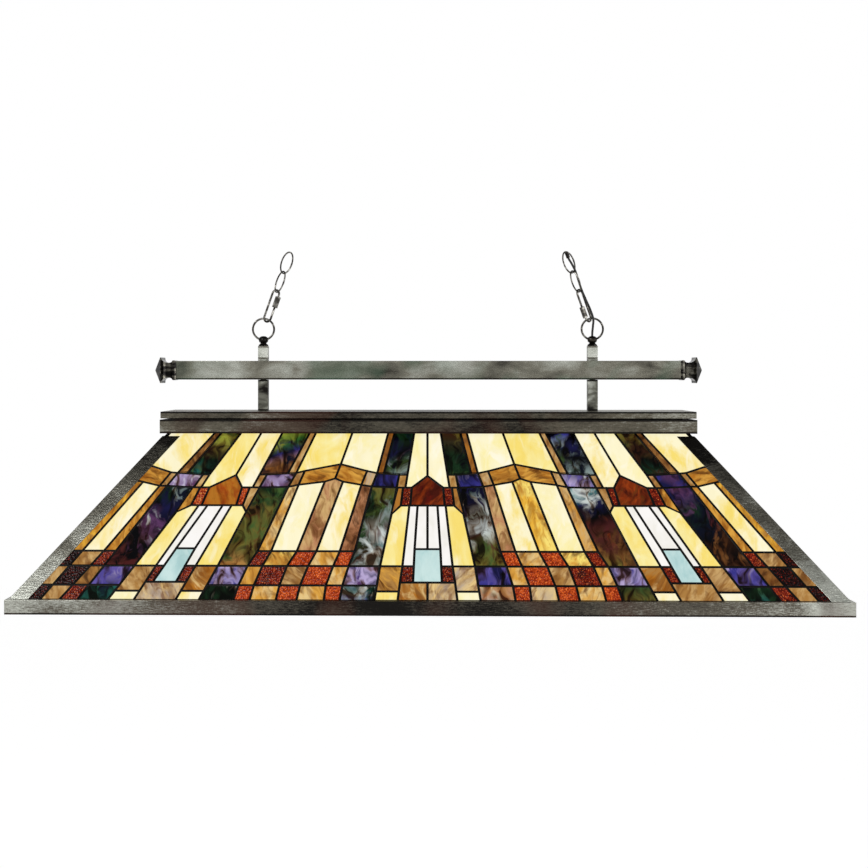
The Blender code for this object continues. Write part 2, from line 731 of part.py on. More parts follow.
def make_harness():
    """Lead wires from the splice to the three sockets."""
    start = CORD_RADIUS + GAP
    reach = CUP_RADIUS + GAP
    sag = 0.002
    side_leg = reach / math.sqrt(2)
    left_x, middle_x, right_x = SOCKET_X
    side_y = HARNESS_SIDE_Y
    routes = {
        3: [(POST_X + start, 0), (POST_X + 0.02, -0.001), (POST_X + 0.035, 0.001), (right_x - reach, 0)],
        2: [(POST_X - start, 0), (POST_X - 0.06, 0.003), (POST_X - 0.15, -0.002), (middle_x + reach, 0)],
        1: [
            (POST_X, start), (POST_X - 0.012, 0.016), (POST_X - 0.06, side_y), (middle_x, side_y + 0.002),
            (left_x / 2, side_y), (left_x + 0.06, side_y), (left_x + side_leg, side_leg),
        ],
    }
    for number, route in routes.items():
        last = len(route) - 1
        places = [(x, y, HARNESS_Z - (0 if i in (0, last) else sag / 2)) for i, (x, y) in enumerate(route)]
        hold(wire(f"harness_wire_{number}", smooth_curve(places, 0.02), HARNESS_RADIUS, cord_cover), lamp)


make_cord()
make_cord_cap()
make_splice_cap()
make_harness()
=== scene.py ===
"""Looks of the leaded-glass billiard light: coloured glass and came, aged bronze, chain, cord and lamps.

The glass pattern is laid out in panel coordinates: x in millimetres from the panel's middle, and s in
millimetres up the slope. Each pane is a closed piece of glass, and the came runs along every edge.
"""

import math
import random

import bmesh
import bpy
from mathutils import Matrix, Vector


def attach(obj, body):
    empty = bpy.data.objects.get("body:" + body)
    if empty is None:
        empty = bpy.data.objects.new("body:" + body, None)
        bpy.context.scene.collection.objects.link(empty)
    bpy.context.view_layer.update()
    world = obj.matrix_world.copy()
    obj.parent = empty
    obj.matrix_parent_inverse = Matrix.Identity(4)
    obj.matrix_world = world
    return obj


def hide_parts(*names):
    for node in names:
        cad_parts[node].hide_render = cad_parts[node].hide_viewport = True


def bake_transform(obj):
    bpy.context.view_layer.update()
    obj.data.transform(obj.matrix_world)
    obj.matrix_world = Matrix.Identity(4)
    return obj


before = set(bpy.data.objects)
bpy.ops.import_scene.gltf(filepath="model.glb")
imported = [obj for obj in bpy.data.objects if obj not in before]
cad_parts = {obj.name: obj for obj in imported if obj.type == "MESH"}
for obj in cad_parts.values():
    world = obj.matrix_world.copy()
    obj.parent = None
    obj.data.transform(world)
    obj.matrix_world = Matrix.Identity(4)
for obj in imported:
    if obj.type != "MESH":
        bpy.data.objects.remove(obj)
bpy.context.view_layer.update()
MM = 0.001

# Shade geometry, as in the CAD model
RIM_LENGTH, RIM_DEPTH, RIM_HEIGHT = 1.2192, 0.508, 0.0212
PANEL_INSET, PANEL_RUN, PANEL_RISE = 0.005, 0.1878, 0.2278
SLOPE_LENGTH = math.hypot(PANEL_RUN, PANEL_RISE)
LEAN_IN = PANEL_RUN / SLOPE_LENGTH
RISE = PANEL_RISE / SLOPE_LENGTH
SHADE_SIDES = {
    "front": (0, RIM_DEPTH / 2, 599.3),
    "right": (90, RIM_LENGTH / 2, 243.7),
    "back": (180, RIM_DEPTH / 2, 599.3),
    "left": (270, RIM_LENGTH / 2, 243.7),
}
GLASS_TOP = 316.5
VIEW_SHIFT = 1.2

# Depths in millimetres below the outside of the hips
CAME_TOP, CAME_SHOULDER, CAME_EDGE = 1.9, 2.15, 2.75
GLASS_FACE, GLASS_BACK = 2.6, 5.2
CAME_BACK_EDGE, CAME_BACK = 5.1, 6.0
CAME_HALF = 2.1


# Colour

def srgb(r, g, b):
    def linear(c):
        return c / 12.92 if c <= 0.04045 else ((c + 0.055) / 1.055) ** 2.4
    return (linear(r), linear(g), linear(b), 1.0)


PALETTE = {
    "rosewood": srgb(0.50, 0.32, 0.19),
    "brick": srgb(0.58, 0.14, 0.05),
    "fire": srgb(0.85, 0.36, 0.12),
    "frost": srgb(0.80, 0.84, 0.83),
    "snow": srgb(0.82, 0.80, 0.86),
    "straw": srgb(0.88, 0.76, 0.52),
    "copper": srgb(0.66, 0.31, 0.06),
    "cream": srgb(0.98, 0.95, 0.80),
    "pale": srgb(0.99, 0.97, 0.89),
    "yellow": srgb(0.96, 0.86, 0.45),
    "gold": srgb(0.90, 0.69, 0.24),
    "butter": srgb(0.97, 0.92, 0.64),
    "white": srgb(0.93, 0.92, 0.89),
    "milk": srgb(0.97, 0.96, 0.95),
    "ice": srgb(0.66, 0.80, 0.80),
    "sky": srgb(0.78, 0.88, 0.87),
    "amber": srgb(0.68, 0.43, 0.13),
    "honey": srgb(0.84, 0.62, 0.26),
    "umber": srgb(0.36, 0.19, 0.06),
    "tan": srgb(0.66, 0.48, 0.25),
    "sand": srgb(0.80, 0.66, 0.44),
    "brown": srgb(0.48, 0.31, 0.15),
    "bark": srgb(0.20, 0.11, 0.06),
    "rosy": srgb(0.72, 0.51, 0.36),
    "stone": srgb(0.70, 0.63, 0.56),
    "mahogany": srgb(0.26, 0.07, 0.03),
    "rust": srgb(0.56, 0.22, 0.06),
    "ember": srgb(0.68, 0.24, 0.03),
    "flame": srgb(0.78, 0.24, 0.07),
    # Colour of the glints painted on hammered glass
    "spark": srgb(0.96, 0.56, 0.26),
    "wine": srgb(0.36, 0.06, 0.03),
    "garnet": srgb(0.17, 0.03, 0.02),
    "maroon": srgb(0.30, 0.12, 0.12),
    "black": srgb(0.01, 0.01, 0.02),
    "ink": srgb(0.03, 0.05, 0.12),
    "night": srgb(0.08, 0.08, 0.24),
    "indigo": srgb(0.20, 0.19, 0.50),
    "violet": srgb(0.38, 0.33, 0.62),
    "lilac": srgb(0.70, 0.64, 0.80),
    "plum": srgb(0.36, 0.22, 0.38),
    "mist": srgb(0.76, 0.79, 0.78),
    "haze": srgb(0.54, 0.61, 0.60),
    "teal": srgb(0.12, 0.36, 0.34),
    "sea": srgb(0.30, 0.52, 0.52),
    "forest": srgb(0.07, 0.17, 0.09),
    "moss": srgb(0.24, 0.34, 0.16),
    "olive": srgb(0.42, 0.38, 0.16),
    "lime": srgb(0.56, 0.58, 0.20),
    "leaf": srgb(0.20, 0.40, 0.16),
}


# Pattern lines: x at each s, for the right half of a panel

LINES = {
    "mid": [(0, 0), (330, 0)],
    "door": [(0, 21.8), (30.5, 21), (88, 19), (165, 15)],
    "wall": [(0, 43), (30.5, 40), (58, 36.7), (165, 27.4)],
    "eave": [(165, 40.3), (198, 37.3)],
    "side": [(0, 76.5), (58, 69.4), (150, 54), (222, 43.5)],
    "cream_side": [(198, 33.6), (299, 21.3), (330, 17.5)],
    "v5": [(0, 126.5), (24, 123.7), (57, 115.8), (83, 107.4), (200, 85), (225, 77.2), (299, 62.3), (330, 56)],
    "v5_in": [(225, 67), (299, 52.4), (330, 46.2)],
    "v4": [(0, 149.2), (24, 147.8), (57, 138.4), (83, 129.5), (203, 101), (229, 93)],
    "v3": [(0, 188.8), (24, 185.1), (57, 175.3), (83, 164), (209, 129.4)],
    "apex": [(215, 141.5), (242, 133.8), (299, 119), (330, 111)],
    "v2": [(0, 218.5), (24, 215), (57, 206.3), (83, 193), (209, 157.2)],
    "v1": [(0, 256.3), (24, 252.3), (57, 242.3), (83, 231), (203, 197), (229, 189)],
    "v0": [(0, 280), (24, 274.7), (57, 264.2), (83, 251), (199, 212.6), (225, 202), (299, 176.6), (330, 166)],
    "v0_out": [(225, 214.4), (299, 186.5), (330, 174.8)],
    "h_left": [(0, 330), (62, 306), (153, 274), (222, 247)],
    "h_a": [(0, 363.5), (58, 340), (165, 296.5)],
    "h_b": [(31, 366), (88, 344), (165, 310)],
    "h_c": [(31, 399.5), (88, 372), (165, 333)],
    "h_d": [(0, 424), (58, 398.5), (165, 346.3)],
    "h_right": [(0, 461.6), (62, 427.8), (153, 379.7), (222, 345.5)],
    "h_cream_left": [(198, 267), (299, 229.6), (330, 218.1)],
    "h_mid": [(221, 294), (299, 262.8), (330, 250.4)],
    "h_cream_right": [(198, 346), (222, 335.4), (299, 295), (330, 278.7)],
    "o5": [(0, 505.8), (84, 460.7), (200.7, 398.8), (225, 385), (299, 337), (330, 316.9)],
    "o5_out": [(226, 385), (299, 337)],
    "o5_in": [(226, 369.6), (299, 326.4), (330, 308)],
    "o4": [(0, 531.9), (84, 478.4), (200.7, 410), (226, 395.5)],
    "o3": [(0, 560), (84, 510.4), (208, 436.3)],
    "o2": [(0, 587), (84, 541), (214, 461)],
    "edge": [(0, 640), (330, 430)],
}


# Heights of the three rows at the foot
ROW_3, ROW_2, ROW_1 = 25.2, 58, 83.5


def at(line, s):
    """x on a pattern line at this height."""
    knots = LINES[line]
    if s <= knots[0][0]:
        return knots[0][1]
    for (s0, x0), (s1, x1) in zip(knots, knots[1:]):
        if s <= s1:
            return x0 + (x1 - x0) * (s - s0) / (s1 - s0)
    return knots[-1][1]


def between(left, right, low, high):
    """The outline between two lines, from low to high; each level may be a pair, left then right."""
    lows = low if isinstance(low, tuple) else (low, low)
    highs = high if isinstance(high, tuple) else (high, high)
    up_right = [s for s, _ in LINES[right] if lows[1] + 2 < s < highs[1] - 2]
    down_left = [s for s, _ in LINES[left] if lows[0] + 2 < s < highs[0] - 2][::-1]
    return (
        [(at(left, lows[0]), lows[0]), (at(right, lows[1]), lows[1])]
        + [(at(right, s), s) for s in up_right]
        + [(at(right, highs[1]), highs[1]), (at(left, highs[0]), highs[0])]
        + [(at(left, s), s) for s in down_left]
    )


def pane(outline, glass, angle=0.0, ripple=False):
    """glass is (base, streak, wisp, share), or levels of it: [(s, base, streak, wisp), ...]. share is how streaky the
    glass is; for ripple glass, wisp is the colour of its painted glints and share how many there are.
    """
    if ripple:
        kind = "ripple"
    elif isinstance(glass, list):
        kind = "swirl"
    elif glass[0] in ("cream", "butter", "yellow", "white", "ice"):
        kind = "soft"
    else:
        kind = "wispy"
    return {"outline": outline, "glass": glass, "angle": angle, "kind": kind}


KINDS = ("soft", "wispy", "swirl", "ripple")


CREAM = ("cream", "yellow", "pale", 0.38)
CREAM_PALE = ("cream", "butter", "pale", 0.35)
CREAM_RICH = ("butter", "yellow", "cream", 0.5)
GOLDEN = ("yellow", "butter", "gold", 0.5)
WHITE = ("white", "milk", "milk", 0.5)
BLUE = ("ice", "sky", "sky", 0.5)
TAN = ("tan", "sand", "brown", 0.45)
TAN_PALE = ("sand", "tan", "rosy", 0.5)
TAN_DARK = ("brown", "tan", "bark", 0.5)
ROSY = ("sand", "rosy", "brown", 0.5)
ROSEWOOD = ("rosewood", "rosy", "bark", 0.5)
STRAW = ("honey", "straw", "brown", 0.5)
BLACK_RED = ("black", "garnet", "brick", 0.9)
AMBER = ("amber", "honey", "umber", 0.55)
SQUARE_BROWN = ("tan", "honey", "umber", 0.5)
BASE_BROWN = ("amber", "tan", "straw", 0.5)
BASE_STONE = ("stone", "straw", "rosewood", 0.55)
# In these hammered glasses the third colour is that of their painted glints
ORANGE = ("brick", "fire", "spark", 0.8)
DARK_RED = ("garnet", "brick", "spark", 0.7)
RED = ("wine", "flame", "spark", 0.7)


def house(m, side):
    """The half house beside the panel's middle."""
    roof_half = [(0, 165), (26, 165), (24, 198), (0, 220)]
    top = [(24, 198), (at("cream_side", 198), 198), (at("cream_side", 299), 299),
           (at("cream_side", 330), 330), (0, 330), (0, 220)]
    return [
        pane(between("mid", "wall", 0, 30.5), BASE_BROWN if side < 0 else BASE_STONE, 0.35),
        pane(between("wall", "side", 0, 15.5), GOLDEN if side < 0 else CREAM_PALE),
        pane(between("wall", "side", 15.5, 58), SQUARE_BROWN if side < 0 else BASE_STONE, 0.6),
        pane(between("door", "wall", 30.5, 58), DARK_RED, ripple=True),
        pane([(at("wall", 58), 58), (at("side", 58), 58), (54, 150), (40.3, 165), (at("wall", 165), 165)],
             CREAM_RICH),
        pane(between("door", "wall", 58, 165), WHITE),
        pane(between("mid", "door", 87.6, 165), WHITE),
        pane([(40.3, 165), (54, 150), (45.5, 198), (37.3, 198)], ("amber", "tan", "brown", 0.5)),
        pane([(26, 165), (40.3, 165), (37.3, 198), (24, 198)], DARK_RED, ripple=True),
        pane(top, CREAM_PALE if side < 0 else CREAM),
        pane(between("cream_side", "side", 198, 222), TAN, 0.2),
    ], roof_half


def chevron(side):
    """The pointed group of tall panes, from its inner edge out."""
    return [
        # Three rows at the foot
        pane(between("v5", "v4", 0, ROW_3), ORANGE, ripple=True),
        pane(between("v4", "v3", 0, ROW_3), BASE_STONE if side > 0 else STRAW, 0.4),
        pane(between("v3", "v2", 0, ROW_3), ORANGE, ripple=True),
        pane(between("v2", "v1", 0, ROW_3), STRAW, 0.3),
        pane(between("v1", "v0", 0, ROW_3), ORANGE, ripple=True),
        pane(between("v5", "v4", ROW_3, ROW_2), STRAW, 0.4),
        pane(between("v4", "v3", ROW_3, ROW_2), ORANGE, ripple=True),
        pane(between("v3", "v2", ROW_3, ROW_2), TAN, 0.7),
        pane(between("v2", "v1", ROW_3, ROW_2), DARK_RED, ripple=True),
        pane(between("v1", "v0", ROW_3, ROW_2), STRAW, 0.2),
        pane(between("v5", "v4", ROW_2, ROW_1), ORANGE, ripple=True),
        pane(between("v4", "v3", ROW_2, ROW_1), STRAW, 0.5),
        pane(between("v3", "v2", ROW_2, ROW_1), ORANGE, ripple=True),
        pane(between("v2", "v1", ROW_2, ROW_1), ("honey", "yellow", "umber", 0.5), 0.3),
        pane(between("v1", "v0", ROW_2, ROW_1), DARK_RED, ripple=True),
        # Tall panes under the band
        pane(between("v5", "v4", ROW_1, (200, 203)), ROSY if side > 0 else ROSEWOOD, 0.05),
        pane(between("v4", "v3", ROW_1, (203, 209)), CREAM, 0.0),
        pane([(at("v3", ROW_1), ROW_1), (at("v2", ROW_1), ROW_1), (at("v2", 209), 209), (141.5, 215), (at("v3", 209), 209)],
             ("gold", "yellow", "amber", 0.45) if side > 0 else ROSY),
        pane(between("v2", "v1", ROW_1, (209, 203)), CREAM_PALE, 0.0),
        pane(between("v1", "v0", ROW_1, (203, 199)), ("honey", "sand", "brown", 0.5) if side > 0 else STRAW, 0.05),
        # Band
        pane([(at("v5", 200), 200), (at("v4", 203), 203), (at("v4", 229), 229), (at("v5", 225), 225)],
             ("sand", "tan", "stone", 0.5)),
        pane([(at("v4", 203), 203), (at("v3", 209), 209), (141.5, 215), (133.8, 242), (at("v4", 229), 229)],
             AMBER, 1.2),
        pane([(141.5, 215), (at("v2", 209), 209), (at("v1", 203), 203), (at("v1", 229), 229), (133.8, 242)],
             AMBER, 1.2),
        pane([(at("v1", 203), 203), (at("v0", 199), 199), (at("v0", 225), 225), (at("v1", 229), 229)],
             TAN, 0.3),
        # Over the band
        pane(between("v5_in", "v5", 225, 330), ("brown", "amber", "tan", 0.5), 0.0),
        pane([(at("v5", 225), 225), (at("v4", 229), 229), (133.8, 242), (at("apex", 299), 299), (111, 330),
              (at("v5", 330), 330), (at("v5", 299), 299)], CREAM_PALE),
        pane([(133.8, 242), (at("v1", 229), 229), (at("v0", 225), 225), (at("v0", 299), 299),
              (at("v0", 330), 330), (111, 330), (at("apex", 299), 299)], CREAM_RICH),
        pane(between("v0", "v0_out", 225, 330), TAN, 0.0),
    ]


def side_house(side):
    warm = side < 0
    roof = ("copper", "amber", "rust", 0.6) if warm else ("mahogany", "rust", "umber", 0.6)
    return [
        pane(between("h_left", "h_a", 0, 15.5), CREAM),
        pane(between("h_left", "h_a", 15.5, 58), BASE_BROWN, 0.5),
        pane(between("h_a", "h_d", 0, 30.5), BASE_STONE if warm else TAN, 0.35),
        pane(between("h_d", "h_right", 0, 15.5), CREAM_PALE),
        pane(between("h_d", "h_right", 15.5, 58), TAN, 0.5),
        pane(between("h_a", "h_b", 30.5, 58), DARK_RED, ripple=True),
        pane(between("h_c", "h_d", 30.5, 58), DARK_RED, ripple=True),
        pane(between("h_b", "h_c", 30.5, 88), BLUE),
        pane([(at("h_left", 58), 58), (at("h_a", 58), 58), (at("h_a", 165), 165), (279.6, 165), (273.5, 153)],
             CREAM_RICH),
        pane(between("h_a", "h_b", 58, 165), WHITE),
        pane(between("h_b", "h_c", 88, 165), WHITE),
        pane(between("h_c", "h_d", 58, 165), WHITE),
        pane([(at("h_d", 58), 58), (at("h_right", 58), 58), (379, 153), (358, 165), (at("h_d", 165), 165)],
             CREAM_RICH),
        pane([(289.5, 165), (342, 165), (333.3, 198), (294.4, 221), (283.4, 198)], roof, 0.2),
        pane([(279.6, 165), (289.5, 165), (283.4, 198), (271.5, 198)], ORANGE if warm else DARK_RED, ripple=True),
        pane([(342, 165), (358, 165), (347.5, 198), (333.3, 198)],
             ("brick", "fire", "yellow", 0.7) if warm else DARK_RED, ripple=True),
        pane([(273.5, 153), (279.6, 165), (271.5, 198), (at("h_left", 198), 198)], TAN),
        pane([(358, 165), (379, 153), (359, 198), (347.5, 198)], AMBER),
        pane([(267, 198), (283.4, 198), (294.4, 221), (at("h_mid", 299), 299), (250.4, 330), (218.1, 330),
              (229.6, 299)], CREAM),
        pane([(333.3, 198), (346, 198), (335.4, 222), (295, 299), (278.7, 330), (250.4, 330),
              (at("h_mid", 299), 299), (294.4, 221)], CREAM_RICH if warm else CREAM_PALE),
        pane(between("h_left", "h_cream_left", 198, 222), TAN, 0.2),
        pane(between("h_cream_right", "h_right", 198, 222), TAN_PALE, 0.2),
    ]


def outer_chevron(side):
    return [
        pane(between("o5", "o4", 0, ROW_3), DARK_RED, ripple=True),
        pane(between("o4", "o3", 0, ROW_3), TAN, 0.3),
        pane(between("o3", "o2", 0, ROW_3), BLACK_RED, ripple=True),
        pane(between("o5", "o4", ROW_3, ROW_2), TAN_DARK, 0.3),
        pane(between("o4", "o3", ROW_3, ROW_2), BLACK_RED, ripple=True),
        pane(between("o3", "o2", ROW_3, ROW_2), TAN, 0.3),
        pane(between("o5", "o4", ROW_2, ROW_1), DARK_RED, ripple=True),
        pane(between("o4", "o3", ROW_2, ROW_1), TAN, 0.5),
        pane(between("o3", "o2", ROW_2, ROW_1), BLACK_RED, ripple=True),
        pane(between("o2", "edge", 0, ROW_1), ("bark", "brown", "black", 0.5), 0.2),
        pane(between("o5", "o4", ROW_1, (200.7, 200.7)), AMBER, 0.05),
        pane(between("o4", "o3", ROW_1, (200.7, 208)), CREAM),
        pane(between("o3", "o2", ROW_1, (208, 214)), ("amber", "gold", "tan", 0.5)),
        pane(between("o2", "edge", ROW_1, (214, 222)), TAN, 0.05),
        pane([(at("o5", 200.7), 200.7), (at("o4", 200.7), 200.7), (at("o4", 226), 226), (at("o5", 225), 225)],
             TAN, 0.2),
        pane([(at("o4", 200.7), 200.7), (at("o3", 208), 208), (at("o2", 214), 214), (at("edge", 222), 222),
              (490, 250), (424, 237), (at("o4", 226), 226)], AMBER, 1.2),
        pane([(at("o5", 225), 225), (at("o4", 226), 226), (424, 237), (490, 250), (470, 330), (316.9, 330),
              (337, 299)], CREAM),
        pane(between("o5_in", "o5", (226, 225), 330), TAN_DARK),
    ]


def column(left, right, square, tops, colours):
    """The dark streaked panes between two groups: foot, square, long pane, band square and top pane."""
    foot, second, tall, band, top = colours
    square_l, square_r = square
    top_left, top_right = tops
    return [
        pane(between(left, right, 0, ROW_3), foot, 0.1),
        pane(between(left, right, ROW_3, ROW_2), second, 0.1),
        pane(between(left, right, ROW_2, (square_l[0], square_r[0])), tall, 0.0),
        pane(between(left, right, (square_l[0], square_r[0]), (square_l[1], square_r[1])), band, 0.1),
        pane([(at(top_left, square_l[1]), square_l[1]), (at(top_right, square_r[1]), square_r[1]),
              (at(top_right, 299), 299), (at(top_right, 330), 330), (at(top_left, 330), 330),
              (at(top_left, 299), 299)], top, 0.0),
    ]


# Streaked glass by column, from the panel's middle outwards: levels of (s, base, streak, wisp)
INNER_LEFT = (
    [(0, "violet", "haze", "teal"), (26, "teal", "mist", "forest")],
    [(26, "plum", "lilac", "night"), (58, "indigo", "lilac", "night")],
    [(58, "forest", "haze", "mist"), (78, "mist", "bark", "sea"), (112, "mist", "forest", "maroon"),
     (150, "forest", "moss", "haze"), (200, "forest", "olive", "black")],
    [(200, "night", "indigo", "ink"), (225, "indigo", "night", "plum")],
    [(222, "haze", "night", "black"), (243, "moss", "black", "haze"), (266, "night", "black", "plum"),
     (300, "black", "forest", "moss")],
)
INNER_RIGHT = (
    [(0, "stone", "rosy", "bark"), (26, "rosy", "tan", "cream")],
    [(26, "indigo", "night", "violet"), (58, "violet", "night", "ink")],
    [(58, "olive", "moss", "bark"), (85, "moss", "olive", "maroon"), (115, "bark", "mist", "maroon"),
     (150, "mist", "bark", "haze"), (178, "ink", "night", "mist"), (200, "night", "black", "teal")],
    [(200, "indigo", "night", "black"), (225, "black", "night", "lilac")],
    [(222, "black", "forest", "moss"), (260, "black", "forest", "ink"), (300, "olive", "bark", "black")],
)
MIDDLE_LEFT = (
    [(0, "black", "forest", "teal"), (26, "forest", "black", "mist")],
    [(26, "lilac", "indigo", "night"), (58, "indigo", "lilac", "night")],
    [(58, "bark", "tan", "moss"), (90, "olive", "moss", "bark"), (130, "moss", "olive", "brown"),
     (170, "olive", "forest", "bark"), (205, "forest", "moss", "ink")],
    [(200, "plum", "lilac", "night"), (225, "lilac", "plum", "night")],
    [(222, "amber", "brown", "bark"), (244, "brown", "ink", "tan"), (266, "night", "ink", "indigo"),
     (288, "leaf", "lime", "ink"), (305, "lime", "leaf", "forest")],
)
MIDDLE_RIGHT = (
    [(0, "olive", "forest", "bark"), (26, "forest", "moss", "black")],
    [(26, "lilac", "violet", "night"), (58, "indigo", "lilac", "night")],
    [(58, "brown", "olive", "bark"), (90, "bark", "brown", "maroon"), (120, "maroon", "bark", "rust"),
     (150, "black", "maroon", "bark"), (180, "night", "mist", "black"), (205, "sea", "mist", "night")],
    [(200, "indigo", "lilac", "violet"), (225, "violet", "night", "mist")],
    [(222, "ink", "haze", "black"), (255, "black", "ink", "moss"), (275, "night", "haze", "black"),
     (300, "black", "indigo", "moss")],
)
OUTER_LEFT = (
    [(0, "forest", "teal", "black"), (26, "teal", "forest", "night")],
    [(26, "indigo", "violet", "night"), (58, "violet", "indigo", "lilac")],
    [(58, "black", "maroon", "bark"), (95, "black", "bark", "plum"), (140, "black", "plum", "mist"),
     (175, "night", "black", "plum"), (205, "ink", "forest", "haze")],
    [(200, "lilac", "plum", "snow"), (225, "plum", "lilac", "snow")],
    [(222, "teal", "black", "moss"), (250, "forest", "black", "bark"), (272, "olive", "bark", "black"),
     (295, "lime", "moss", "olive")],
)
OUTER_RIGHT = (
    [(0, "black", "forest", "teal"), (26, "forest", "black", "moss")],
    [(26, "indigo", "violet", "night"), (58, "violet", "indigo", "lilac")],
    [(58, "black", "bark", "brown"), (95, "bark", "black", "brown"), (130, "black", "ink", "maroon"),
     (170, "ink", "forest", "plum"), (205, "night", "plum", "black")],
    [(200, "night", "indigo", "plum"), (225, "plum", "night", "black")],
    [(222, "forest", "bark", "teal"), (255, "black", "bark", "forest"), (300, "olive", "bark", "black")],
)


def half_pattern(side):
    """Every pane of one half of a panel, right of the middle."""
    panes, roof_half = house(0, side)
    panes += chevron(side) + side_house(side) + outer_chevron(side)
    inner, middle, outer = (
        (INNER_LEFT, MIDDLE_LEFT, OUTER_LEFT) if side < 0 else (INNER_RIGHT, MIDDLE_RIGHT, OUTER_RIGHT)
    )
    panes += column("side", "v5", ((198, 222), (200, 225)), ("cream_side", "v5_in"), inner)
    panes += column("v0", "h_left", ((199, 225), (198, 222)), ("v0_out", "h_cream_left"), middle)
    panes += column("h_right", "o5", ((198, 222), (200.7, 225)), ("h_cream_right", "o5_in"), outer)
    return panes, roof_half


def whole_pattern():
    """Both halves, and the panes that cross the middle."""
    found = []
    for side in (1, -1):
        panes, roof_half = half_pattern(side)
        for item in panes:
            if side < 0:
                item["outline"] = [(-x, s) for x, s in reversed(item["outline"])]
                item["angle"] = -item["angle"]
            found.append(item)
    found.append(pane([(-26, 165), (26, 165), (24, 198), (0, 220), (-24, 198)],
                      ("mahogany", "rust", "wine", 0.45), 0.5))
    door = [(at("door", s), s) for s in (30.5, 87.6)]
    found.append(pane([(-door[0][0], 30.5), door[0], door[1], (-door[1][0], 87.6)], BLUE))
    return found


# Outline tools

def clip(outline, a, b, c):
    """The part of a convex outline where a x + b s <= c."""
    kept = []
    for (x0, s0), (x1, s1) in zip(outline, outline[1:] + outline[:1]):
        d0, d1 = a * x0 + b * s0 - c, a * x1 + b * s1 - c
        if d0 <= 0:
            kept.append((x0, s0))
        if (d0 < 0 < d1) or (d1 < 0 < d0):
            t = d0 / (d0 - d1)
            kept.append((x0 + (x1 - x0) * t, s0 + (s1 - s0) * t))
    return kept


def clean(outline):
    """Without points that nearly coincide."""
    kept = []
    for point in outline:
        if not kept or math.dist(point, kept[-1]) > 0.6:
            kept.append(point)
    while len(kept) > 1 and math.dist(kept[0], kept[-1]) <= 0.6:
        kept.pop()
    return kept


def area(outline):
    return sum(x0 * s1 - x1 * s0 for (x0, s0), (x1, s1) in zip(outline, outline[1:] + outline[:1])) / 2


def inset(outline, distance):
    """The outline moved inwards, with mitred corners. It runs anticlockwise."""
    count = len(outline)
    made = []
    for i, (x, s) in enumerate(outline):
        before, after = Vector(outline[i - 1]), Vector(outline[(i + 1) % count])
        here = Vector((x, s))
        d0, d1 = (here - before).normalized(), (after - here).normalized()
        n0, n1 = Vector((-d0.y, d0.x)), Vector((-d1.y, d1.x))
        mitre = (n0 + n1) / max(0.35, 1 + n0.dot(n1))
        made.append(tuple(here + mitre * distance))
    return made


def fitted_panes(half_foot):
    """The pattern, trimmed to one panel."""
    found = []
    for item in whole_pattern():
        outline = item["outline"]
        outline = clip(outline, 1, LEAN_IN, half_foot - 1)
        outline = clip(outline, -1, LEAN_IN, half_foot - 1) if outline else outline
        outline = clip(outline, 0, 1, GLASS_TOP - VIEW_SHIFT) if outline else outline
        outline = clean(outline) if outline else outline
        if len(outline) < 3 or area(outline) < 30:
            continue
        found.append(dict(item, outline=outline))
    return found


# Glass and came

def level_colours(glass, s):
    """Base, streak and wisp colours at this height."""
    if isinstance(glass, tuple):
        return [PALETTE[name] for name in glass[:3]]
    if s <= glass[0][0]:
        return [PALETTE[name] for name in glass[0][1:]]
    for low, high in zip(glass, glass[1:]):
        if s <= high[0]:
            t = (s - low[0]) / (high[0] - low[0])
            return [
                tuple(a + (b - a) * t for a, b in zip(PALETTE[m], PALETTE[n])) for m, n in zip(low[1:], high[1:])
            ]
    return [PALETTE[name] for name in glass[-1][1:]]


def on_panel(x, s, depth, turn, distance):
    """A point of the panel in the row frame."""
    lowest = (0.3 + depth * LEAN_IN) / RISE
    up = max(s + VIEW_SHIFT, lowest)
    y = PANEL_INSET / MM - distance / MM + LEAN_IN * up + RISE * depth
    z = RIM_HEIGHT / MM + RISE * up - LEAN_IN * depth
    return Matrix.Rotation(math.radians(turn), 3, "Z") @ Vector((x, y, z)) * MM


def new_object(name, mesh_data, *materials):
    made = bpy.data.objects.new(name, mesh_data)
    for material in materials:
        mesh_data.materials.append(material)
    bpy.context.scene.collection.objects.link(made)
    return made


